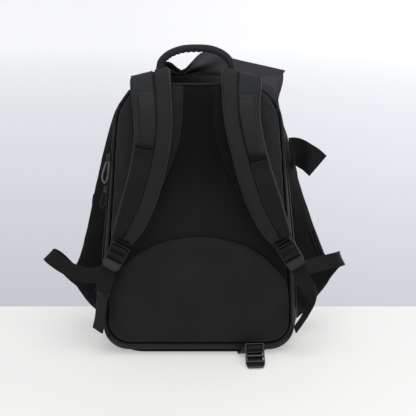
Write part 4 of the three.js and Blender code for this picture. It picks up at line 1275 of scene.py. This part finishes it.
# Place of the middle line, width and roll in degrees
STRAP_ROWS = {
    "left": (
        (-75, -52, 437.1, 60, 9),
        (-75, -61, 453, 61, 13),
        (-75, -73, 458, 62, 14),
        (-74.5, -87, 453.5, 62, 10),
        (-73.5, -99, 441, 61, 6),
        (-71, -108, 421, 59, 3),
        (-69, -117, 387, 57, 0),
        (-72, -124, 348, 54, 0),
        (-80, -128, 309, 53, 0),
        (-92, -127, 269, 52, 0),
        (-107, -120, 229, 46, 0),
        (-121, -113, 203, 35, 0),
    ),
    "right": (
        (67.5, -52, 437.9, 60, -9),
        (67.5, -61, 453, 61, -13),
        (67.5, -73, 458, 62, -13),
        (67.5, -87, 453.5, 62, -10),
        (67, -99, 441, 60, -6),
        (66.5, -108, 421, 57, -3),
        (69, -117, 387, 54, 0),
        (77.5, -124, 348, 52, 0),
        (88, -128, 309, 53, 0),
        (101.5, -127, 269, 53, 0),
        (117.5, -120, 229, 46, 0),
        (131, -113, 203, 35, 0),
    ),
}
# Which way the inner edge of each strap lies
INWARDS = {"left": 1, "right": -1}


def strap_frames_of(rows):
    """Places along a strap, each with its directions across, along and out, and its width."""
    points = [Vector(row[0:3]) * MM for row in rows]
    sizes = [Vector((row[3] * MM, math.radians(row[4]), 0)) for row in rows]
    frames = []
    for step, (point, along) in enumerate(course_of(points, STRAP_STEPS)):
        place = step / STRAP_STEPS * (len(rows) - 1)
        index = min(int(place), len(rows) - 2)
        width, roll, _ = sizes[index].lerp(sizes[index + 1], place - index)
        across = Vector((math.cos(roll), 0, math.sin(roll)))
        across = (across - along * across.dot(along)).normalized()
        frames.append((point, across, along, along.cross(across), width))
    return frames


def strap_thickness(row):
    """Full thickness down to the taper near the strap's end."""
    thin = ease(row / STRAP_STEPS, STRAP_TAPER_FROM, 1)
    return STRAP_THICK + (STRAP_END_THICK - STRAP_THICK) * thin


strap_cloth = make_cloth(
    "strap_cloth", (0.0042, 0.0044, 0.0047, 1), (0.0068, 0.007, 0.0075, 1), CANVAS_PITCH,
    roughness=0.8, sheen=0.05, relief=0.5,
)
binding_cloth = make_cloth(
    "binding_tape", (0.013, 0.0134, 0.0142, 1), (0.022, 0.0226, 0.024, 1), 0.6 * MM,
    roughness=0.7, sheen=0.1, relief=0.5, lint=0.1,
)
strap_frames = {}
for side, rows in STRAP_ROWS.items():
    frames = strap_frames_of(rows)
    strap_frames[side] = frames

    def strap_place(column, row):
        point, across, along, out, width = frames[row]
        angle = 2 * math.pi * column / STRAP_SIDES
        wide = math.copysign(abs(math.cos(angle)) ** STRAP_SQUARE, math.cos(angle))
        tall = math.copysign(abs(math.sin(angle)) ** STRAP_CROWN, math.sin(angle))
        puff = 1 - STRAP_PUFF * noise.noise(Vector((wide, 0.18 * row, 7))) * abs(tall)
        return point + across * wide * width / 2 + out * tall * puff * strap_thickness(row) / 2

    strap = shaped_grid(f"padded_strap_{side}", STRAP_SIDES, STRAP_STEPS, strap_place)
    close_grid(strap)
    cap_ends(strap)
    apply_modifier(strap, "SUBSURF", levels=1, render_levels=1)
    smooth_faces(strap, 60)
    dress(strap, strap_cloth, "canvas", f"shoulder_strap_{side}")

    bindings = []
    for edge in (-1, 1):
        def binding_place(column, row):
            point, across, along, out, width = frames[row]
            angle = math.pi * (column / BINDING_COLUMNS - 0.5)
            fold = BINDING_WIDTH + BINDING_STAND + BINDING_CRIMP * math.sin(1.7 * row)
            reach = width / 2 - BINDING_WIDTH + fold * math.cos(angle) ** 0.6
            rise = (strap_thickness(row) / 2 * 0.86) * math.sin(angle)
            return point + across * edge * reach + out * rise

        binding = shaped_grid("edge", BINDING_COLUMNS, STRAP_STEPS, binding_place)
        apply_modifier(binding, "SOLIDIFY", thickness=BINDING_THICK, offset=0)
        bindings.append(binding)
    binding = join_pieces(f"strap_binding_{side}", bindings)
    close_grid(binding)
    smooth_faces(binding, 60)
    dress(binding, binding_cloth, "webbing")

# What is sewn along each strap's face: an inner band from the handle to the end, and on the outer half a yoke
# panel, a length of webbing that bows off it, and below them a cover panel under whose hem both tuck.
# Beside is the width that a strip leaves free along the strap's other edge
STRIPS = {
    "band": {"width": 21, "edge": 1.5, "beside": 21, "thick": 1.5, "rise": 0.6, "bulge": 0, "hem": 0},
    "webbing": {"width": 23, "edge": 9, "beside": 24.2, "thick": 1.5, "rise": 1.4, "bulge": 3.4, "hem": 0},
    "cover": {"width": 33, "edge": 1.5, "beside": 23.7, "thick": 1.5, "rise": 0.6, "bulge": 0, "hem": 3.4},
    "yoke": {"width": 34, "edge": 1.5, "beside": 23.7, "thick": 1.2, "rise": 0.6, "bulge": 0, "hem": 0},
}
# The first and last station that each strip covers
SPANS = {
    "left": {"band": (4, 44.4), "yoke": (4, 29.4), "webbing": (18, 28.8), "cover": (28.8, 44.4)},
    "right": {"band": (4, 44.4), "yoke": (4, 31.4), "webbing": (19, 30.8), "cover": (30.8, 44.4)},
}
STATIONS = 45
STRIP_COLUMNS = 12
HEM_STEPS = 4
# Painted shade where both straps' webbing passes under its cover's hem: heights along a slanted direction
SLOT_PAINTED_SHADE = (0.0022, 0.0023, 0.0025, 1)
SLOT_SHADE_REACH = (357 * MM, 345 * MM)
SLOT_SHADE_WAY = (0.08, 0, 1)


def strip_steps(span):
    """The first and last step of a strap that a strip covers."""
    return [round(station / STATIONS * STRAP_STEPS) for station in span]


def strip_way(side, strip):
    """Which edge of a strap a strip lies along: the inner one for the band, the outer one for the others."""
    return INWARDS[side] if strip == "band" else -INWARDS[side]


def strip_across(size, way, width, share):
    """Where a share of the strip's width lies across the strap."""
    edge = size["edge"] * MM
    half = min(size["width"] * MM, width - edge - size["beside"] * MM) / 2
    return way * (width / 2 - edge - half) + share * half


def strip_height(size, steps, row):
    """How far a strip lies above a strap's middle line at one step; a hem lifts the start of a cover."""
    first, last = steps
    bow = size["bulge"] * MM * math.sin(math.pi * ((row - first) / (last - first)) ** 1.4)
    lift = size["hem"] * MM * ease(row - first, HEM_STEPS, 0)
    return strap_thickness(row) / 2 + (size["rise"] + size["thick"] / 2) * MM + bow + lift


def make_strip(name, side, strip, material, slot, pucker, *nodes):
    """A strip on a strap's face, a set distance from one edge."""
    size = STRIPS[strip]
    frames = strap_frames[side]
    first, last = strip_steps(SPANS[side][strip])
    widths = [frame[4] for frame in frames[first:last + 1]]

    def across_of(share, row):
        return strip_across(size, strip_way(side, strip), widths[row], share)

    def out_of(share, row):
        wave = pucker * noise.noise(Vector((1.5 * share, 0.35 * row, size["width"])))
        return strip_height(size, (first, last), first + row) + wave * (1 - share ** 4)

    chosen = [frame[0:4] for frame in frames[first:last + 1]]
    piece = make_ribbon(name, chosen, STRIP_COLUMNS, across_of, out_of, size["thick"] * MM)
    dress(piece, material, slot, *nodes)


RIB_PITCH = 1.6 * MM
RIB_DEPTH = 0.12 * MM
RIB_RELIEF = 0.3


def make_webbing_material(name, dark, light, roughness, sheen):
    """Flat nylon webbing: ribs along its length crossed by a fine weft, with a slight gloss on the ribs."""
    material = make_cloth(name, dark, light, 1.0 * MM, roughness, sheen, 0.3, lint=0.1, coordinates="UV")
    tree = material.node_tree
    shader = tree.nodes["Principled BSDF"]
    across = add_node(tree, "ShaderNodeSeparateXYZ", {0: own_coordinates(tree, "UV")})
    turns = work_out(tree, "MULTIPLY", across.outputs["X"], 2 * math.pi / RIB_PITCH)
    ribs = add_node(tree, "ShaderNodeBump", {
        "Height": work_out(tree, "SINE", turns),
        "Strength": RIB_RELIEF,
        "Distance": RIB_DEPTH,
        "Normal": shader.inputs["Normal"].links[0].from_socket,
    })
    set_inputs(tree, shader, {"Normal": ribs.outputs[0]})
    return material


band_cloth = make_cloth(
    "band_cloth", (0.0104, 0.0108, 0.0115, 1), (0.0164, 0.0169, 0.0179, 1), 0.7 * MM,
    roughness=0.72, sheen=0.06, relief=0.4, lint=0.2,
)
cover_cloth = make_cloth(
    "cover_cloth", (0.0066, 0.0069, 0.0074, 1), (0.0102, 0.0106, 0.0113, 1), CANVAS_PITCH,
    roughness=0.8, sheen=0.05, relief=0.5,
)
yoke_cloth = make_cloth(
    "yoke_cloth", (0.0142, 0.0148, 0.0159, 1), (0.0215, 0.0223, 0.024, 1), CANVAS_PITCH,
    roughness=0.8, sheen=0.06, relief=0.5,
)
bright_webbing = make_webbing_material(
    "strap_webbing", (0.0095, 0.0098, 0.0104, 1), (0.0155, 0.0159, 0.0168, 1), roughness=0.42, sheen=0.06
)
# Painted shade on the yoke and the webbing where they pass under the cover's hem
for material in (yoke_cloth, bright_webbing):
    paint_light_and_shade(material, SLOT_PAINTED_SHADE, *SLOT_SHADE_REACH, SLOT_SHADE_WAY)
thread = make_cloth(
    "thread", (0.013, 0.0134, 0.0141, 1), (0.022, 0.0226, 0.0238, 1), 0.4 * MM,
    roughness=0.5, sheen=0.05, relief=0.3, lint=0,
)
STITCH_SIZE = (0.7 * MM, 2.4 * MM, 0.7 * MM)
STITCH_SPACING = 3.2 * MM
STITCH_RISE = 0.9 * MM
# Out of a strap's face, where the stitches lie
STITCH_OUT = Vector((0, -1, 0.2))
# How far across a strip its seams lie, and the strap's steps at which seams cross it
LONG_SEAMS = {"band": (-0.88, 0.88), "cover": (-0.9, 0.9), "yoke": (-0.93, 0.93)}
CROSS_SEAM_SHARES = (-0.9, 0, 0.9)
CROSS_SEAMS = {
    "left": {"band": (78, 80, 84, 86, 90, 92, 122), "webbing": (57,), "cover": (88, 122)},
    "right": {"band": (74, 76, 80, 82, 88, 90, 122), "webbing": (60, 67, 69, 71), "cover": (94, 122)},
}


def run_stitches(name, seams):
    """Rows of stitches along lines of places."""
    places = [place for seam in seams for place in even_line(seam, STITCH_SPACING)]
    matrices = [standing_matrix(place, along, STITCH_OUT, STITCH_SIZE) for place, along in places]
    stitches = copy_mesh_to(name, small_block(0.3), matrices)
    smooth_faces(stitches, 80)
    dress(stitches, thread, "webbing")


def stitch_place(side, strip, row, across):
    """A place just proud of a strip, at one step of its strap and a distance across."""
    point, sideways, along, out, width = strap_frames[side][row]
    height = strip_height(STRIPS[strip], strip_steps(SPANS[side][strip]), row)
    return point + sideways * across + out * (height + STITCH_RISE)


def seam_place(side, strip, row, share):
    """A place just proud of a strip, at one step of its strap and a share of the strip's width."""
    across = strip_across(STRIPS[strip], strip_way(side, strip), strap_frames[side][row][4], share)
    return stitch_place(side, strip, row, across)


for side in strap_frames:
    make_strip(
        f"inner_band_{side}", side, "band", band_cloth, "gusset_cloth", 0.35 * MM, f"strap_band_{side}"
    )
    make_strip(
        f"bowed_webbing_{side}", side, "webbing", bright_webbing, "webbing", 0.2 * MM, f"strap_webbing_{side}"
    )
    make_strip(
        f"cover_panel_{side}", side, "cover", cover_cloth, "gusset_cloth", 0.5 * MM, f"strap_cover_{side}"
    )
    make_strip(f"strap_yoke_{side}", side, "yoke", yoke_cloth, "canvas", 0.3 * MM)

    seams = []
    for strip, shares in LONG_SEAMS.items():
        first, last = strip_steps(SPANS[side][strip])
        for share in shares:
            seams.append([seam_place(side, strip, row, share) for row in range(first + 1, last)])
    for strip, rows in CROSS_SEAMS[side].items():
        for row in rows:
            seams.append([seam_place(side, strip, row, share) for share in CROSS_SEAM_SHARES])
    run_stitches(f"strap_stitches_{side}", seams)

# Ladder locks: moulded plastic frames with cross bars, whose foot curls out into a lever lip. A loop of
# webbing sewn to each strap's end holds its lock, and a third lock stands spare in front of the base.
# Across and along the lock from its middle, then width, length and thickness of each bar
LOCK_BARS = (
    (-14.3, 4.25, 2.4, 34.5, 4.8),
    (14.3, 4.25, 2.4, 34.5, 4.8),
    (0, 20.4, 31.0, 2.4, 4.8),
    (0, 13.4, 29.0, 3.8, 3.6),
    (0, 7.0, 29.0, 2.2, 2.4),
    (0, 0.5, 29.0, 3.8, 4.0),
    (0, -10.0, 31.0, 6.0, 4.0),
)
# The side view of the lever lip: along the lock and out from its face
LOCK_LIP = ((-9, -2), (-16, -1), (-20, 2.5), (-21.5, 6.6), (-19.6, 7.2), (-16, 5.6), (-12, 3.6), (-9, 2))
LIP_HALF = 15.2
# How far the lip's corners are drawn in at its tip, from where along the lock, and over what length
LIP_CORNER = 4.4
LIP_CORNER_FROM = -15
LIP_CORNER_LENGTH = 6.5
# Places of the ridges along the lock, their size and their rise
GRIP_RIDGES = (-0.7, 0.5, 1.7)
RIDGE_SIZE = (26, 0.8, 0.9)
RIDGE_RISE = 2.2
LOCK_VOXEL = 0.55 * MM

lock_plastic = make_plastic("lock_plastic", (0.0046, 0.0047, 0.005, 1), EDGE_WEAR_AND_HIGHLIGHT_TONE, roughness=0.5, grain=0.12)
# The spare lock's plastic is glossier, and darker as painted shade against the light on its upturned face
spare_plastic_painted_shade = make_plastic(
    "spare_lock_plastic_painted_shade", (0.003, 0.0031, 0.0033, 1), (0.014, 0.0143, 0.0152, 1), roughness=0.3, grain=0.12
)
LOCK_PLASTICS = {"left": lock_plastic, "right": lock_plastic, "floor": spare_plastic_painted_shade}


def make_lock(name):
    """A lock at the origin: bars and lip fused and rounded as one moulding, with ridges on its grip bar."""
    bars = [
        rounded_block(Vector(size) * MM, Vector((across, along, 0)) * MM, 0.9 * MM)
        for across, along, *size in LOCK_BARS
    ]
    for along in GRIP_RIDGES:
        bars.append(rounded_block(Vector(RIDGE_SIZE) * MM, Vector((0, along, RIDGE_RISE)) * MM, 0.3 * MM))
    bpy.ops.object.select_all(action="DESELECT")
    bpy.ops.mesh.primitive_circle_add(vertices=len(LOCK_LIP), radius=1, fill_type="NGON")
    lip = bpy.context.active_object
    for vertex, (along, out) in zip(lip.data.vertices, LOCK_LIP):
        vertex.co = Vector((-LIP_HALF, along, out)) * MM
    bpy.ops.object.mode_set(mode="EDIT")
    bpy.ops.mesh.select_all(action="SELECT")
    bpy.ops.mesh.extrude_region_move(TRANSFORM_OT_translate={"value": (2 * LIP_HALF * MM, 0, 0)})
    bpy.ops.mesh.select_all(action="SELECT")
    bpy.ops.mesh.normals_make_consistent(inside=False)
    bpy.ops.object.mode_set(mode="OBJECT")
    for vertex in lip.data.vertices:
        past = max(0, LIP_CORNER_FROM - vertex.co.y / MM)
        corner = LIP_CORNER * MM * past / LIP_CORNER_LENGTH
        vertex.co.x -= math.copysign(corner, vertex.co.x)
    lock = join_pieces(name, [*bars, lip])
    apply_modifier(lock, "REMESH", mode="VOXEL", voxel_size=LOCK_VOXEL)
    apply_modifier(lock, "SMOOTH", factor=0.5, iterations=6)
    apply_modifier(lock, "DECIMATE", ratio=0.5)
    smooth_faces(lock, 70)
    return lock


def lock_matrix(middle, along, out):
    """Where a lock sits: X across it, Y along it and Z out of its face."""
    return standing_matrix(Vector(middle) * MM, Vector(along), Vector(out), (1, 1, 1))


LOCK_PLACES = {
    "left": lock_matrix((-131.5, -110, 175), (0.47, 0, 0.8827), (0, -1, 0)),
    "right": lock_matrix((147, -110, 177), (-0.52, 0, 0.8542), (0, -1, 0)),
    "floor": lock_matrix((90.5, -130, 15.2), (-0.04, 0.6, 0.79), (0, -0.8, 0.6)),
}
for which, matrix in LOCK_PLACES.items():
    lock = make_lock(f"moulded_lock_{which}")
    lock.data.transform(matrix)
    dress(lock, LOCK_PLASTICS[which], "plastic", f"ladder_lock_{which}")

# Webbing of the locks: a short sewn loop round each head bar, the long adjusting webbing of each side, and
# the strip that holds the spare lock. All are the same ribbed nylon, cut off straight at the free ends.
WEBBING_WIDTH = 25 * MM
WEBBING_THICK = 1.5 * MM
WEBBING_COLUMNS = 8
WEBBING_CUP = 0.12 * MM
# Steps from one place of a route to the next
ROUTE_STEPS = 8
# Routes through a lock: places along it and out of its face
HEAD_LOOP = (
    (28.4, 2.6), (26, 1), (23.8, -1.6), (22, -3.2), (20.2, -3.5), (18.4, -2.4), (17.3, 0.6), (16.2, 3.2),
    (13.4, 4.4), (11.0, 3.6), (9.6, 1.2), (9.7, -1.4), (10.8, -3.5), (13.4, -4.3), (21, -5.9), (32, -2.4),
    (40, -0.4),
)
THREADING = (
    (-15, -8), (-2, -7), (2.6, -5.4), (4.2, -2.6), (4.3, 1.4), (3, 3.9), (0.5, 4.5), (-2.4, 3.1), (-4.2, 0),
    (-6, -3), (-9.5, -4), (-15, -4),
)
FLOOR_LOOP = (
    (18.2, -8), (17.3, -3), (17.1, 0.6), (16, 3), (13.4, 3.7), (11.2, 3.2), (9.8, 1.2), (9.7, -1.4),
    (8.6, -3.3), (-6.5, -3.8),
)
# Free stretches: place, then the direction across the webbing
SLACK_LOOPS = {
    "left": (
        (-167.6, -15, 92, 0, 0, -1),
        (-179, -17, 95, 0, 0, -1),
        (-206, -28, 119, -0.2, 0, -1),
        (-236, -44, 156, -0.6, 0, -0.8),
        (-246, -56, 165, -0.7, 0, -0.7),
        (-237, -68, 160, -0.6, 0, -0.8),
        (-215, -75, 147, -0.3, 0, -1),
        (-188, -84, 138, 0, 0, -1),
        (-163, -95, 140, 0.2, 0, -1),
        (-147, -101.5, 149, 0.65, 0, -0.75),
    ),
    "right": (
        (167.9, -15, 86, 0, 0, 1),
        (179, -17, 89, 0, 0, 1),
        (203, -28, 115, -0.2, 0, 1),
        (226, -44, 150, -0.4, 0, 0.9),
        (235, -56, 158, -0.42, 0, 0.9),
        (227, -68, 159, -0.3, 0, 0.95),
        (210, -75, 157, -0.1, 0, 1),
        (192, -85, 155, 0, 0, 1),
        (174, -95, 153, 0.2, 0, 1),
        (162, -101.5, 155, 0.6, 0, 0.8),
    ),
}
TAILS = {
    "left": (
        (-144, -107, 148, 0.9, 0, -0.44),
        (-149, -107, 133, 0.94, 0, -0.3),
        (-152.5, -105, 120, 1, 0, -0.14),
        (-153.6, -104, 114, 1, 0, -0.12),
        (-154.4, -103, 109.5, 0.72, -0.65, -0.12),
        (-157, -100, 88, 0.7, -0.65, -0.2),
        (-160, -98, 66, 0.66, -0.66, -0.3),
        (-164.5, -97, 47, 0.62, -0.65, -0.45),
    ),
    "right": (
        (161.5, -107, 151, 0.86, 0, 0.5),
        (168, -107, 136, 0.9, 0, 0.4),
        (177, -104, 117, 0.9, -0.3, 0.3),
        (179, -100, 101, 0.6, -0.75, 0.2),
        (176.5, -97, 84, 0.25, -0.95, 0),
        (169, -95, 66, 0.1, -1, 0),
        (157, -94, 47, 0.1, -1, 0),
    ),
}
FLOOR_STRIP = (
    (76, -69.7, 1.5, 1, 0, 0), (77.5, -80, 2, 1, 0, 0), (81, -93, 10, 1, 0.1, 0), (86, -105, 22, 1, 0.1, 0),
)


def lock_rows(matrix, route):
    """Rows of a webbing's route through a lock, from places along and out of the lock."""
    across = matrix.to_3x3().col[0]
    return [(*(matrix @ (Vector((0, along, out)) * MM)), *across) for along, out in route]


webbing = make_webbing_material(
    "webbing", (0.0048, 0.005, 0.0054, 1), (0.0086, 0.0089, 0.0094, 1), roughness=0.5, sheen=0.04
)


def make_webbing(name, rows, node):
    """A length of webbing along a route, cupped very slightly here and there."""
    frames = ribbon_frames(rows, ROUTE_STEPS * (len(rows) - 1))
    strip = make_ribbon(
        name, frames, WEBBING_COLUMNS, lambda share, row: share * WEBBING_WIDTH / 2,
        lambda share, row: WEBBING_CUP * noise.noise(Vector((share, 0.1 * row, 1))), WEBBING_THICK,
    )
    dress(strip, webbing, "webbing", node)


for side in ("left", "right"):
    matrix = LOCK_PLACES[side]
    make_webbing(f"lock_holder_{side}", lock_rows(matrix, HEAD_LOOP), f"lock_loop_{side}")
    rows = in_metres(SLACK_LOOPS[side]) + lock_rows(matrix, THREADING) + in_metres(TAILS[side])
    make_webbing(f"adjusting_webbing_{side}", rows, f"lower_webbing_{side}")
rows = in_metres(FLOOR_STRIP) + lock_rows(LOCK_PLACES["floor"], FLOOR_LOOP)
make_webbing("spare_lock_strip", rows, "floor_webbing")

# The holder's ends lie inside the strap's end, which a box of stitches with one diagonal closes
BOX_ROWS = range(123, 133)
BOX_HALF = 9 * MM


def box_line(side, *places):
    """A line of the box from steps along a strap and shares of the box's half width."""
    return [stitch_place(side, "band", row, share * BOX_HALF) for row, share in places]


for side in strap_frames:
    head, foot = BOX_ROWS[0], BOX_ROWS[-1]
    seams = [
        box_line(side, *((row, -1) for row in BOX_ROWS)),
        box_line(side, *((row, 1) for row in BOX_ROWS)),
        box_line(side, (head, -1), (head, 1)),
        box_line(side, (foot, -1), (foot, 1)),
        box_line(side, *((row, 2 * (row - head) / (foot - head) - 1) for row in BOX_ROWS)),
    ]
    run_stitches(f"holder_stitches_{side}", seams)

# Grab handle: a cord rolled in a strip of the gusset's cloth and closed by a seam along its underside, where
# the cloth crinkles as the handle bends. Its feet are sewn onto the straps' bands.
HANDLE_RADIUS = 6 * MM
HANDLE_STEPS = 168
HANDLE_SIDES = 24
HANDLE_CRINKLES = 28
CRINKLE_DEPTH = 1.5 * MM
# The share of the crinkles that is lost on the right, and where along the handle that begins and how soon
CRINKLE_LOSS = 0.6
CRINKLE_LOSS_FROM = 0.45
CRINKLE_LOSS_LENGTH = 0.3
# The seam's height, its angle round the handle and how broad it is
SEAM_RISE = 0.3 * MM
SEAM_ANGLE = 1.2
SEAM_SPREAD = 0.16
HANDLE_POINTS = (
    (-61.5, -65, 463), (-60, -64, 470.6), (-58, -63.5, 478.5), (-47, -62, 489.5), (-27, -61, 497.5),
    (-3, -60, 499.5), (21, -60.5, 497.5), (39.5, -61.5, 489.5), (50, -63, 478.5), (52, -64, 470),
    (53.5, -65, 462.5),
)
handle_cloth = make_cloth(
    "handle_cloth", (0.0115, 0.012, 0.013, 1), (0.0195, 0.0204, 0.022, 1), 0.7 * MM,
    roughness=0.7, sheen=0.1, relief=0.4, lint=0.2,
)
handle_course = course_of([Vector(point) * MM for point in HANDLE_POINTS], HANDLE_STEPS)


def handle_radius(row, angle):
    """Round above, with a seam and crinkles on the inside of the bend, the deepest on the left half."""
    inside = max(0, math.sin(angle)) ** 2
    share = row / HANDLE_STEPS
    left = 1 - CRINKLE_LOSS * max(0, min(1, (share - CRINKLE_LOSS_FROM) / CRINKLE_LOSS_LENGTH))
    crinkle = abs(math.sin(math.pi * HANDLE_CRINKLES * share)) - 0.5
    seam = SEAM_RISE * math.exp(-((angle - SEAM_ANGLE) / SEAM_SPREAD) ** 2)
    return HANDLE_RADIUS + inside * left * CRINKLE_DEPTH * crinkle + seam


handle, _ = make_tube("rolled_handle", handle_course, handle_radius, HANDLE_SIDES, (0, -1, 0))
apply_modifier(handle, "SUBSURF", levels=1, render_levels=1)
dress(handle, handle_cloth, "gusset_cloth", "grab_handle")
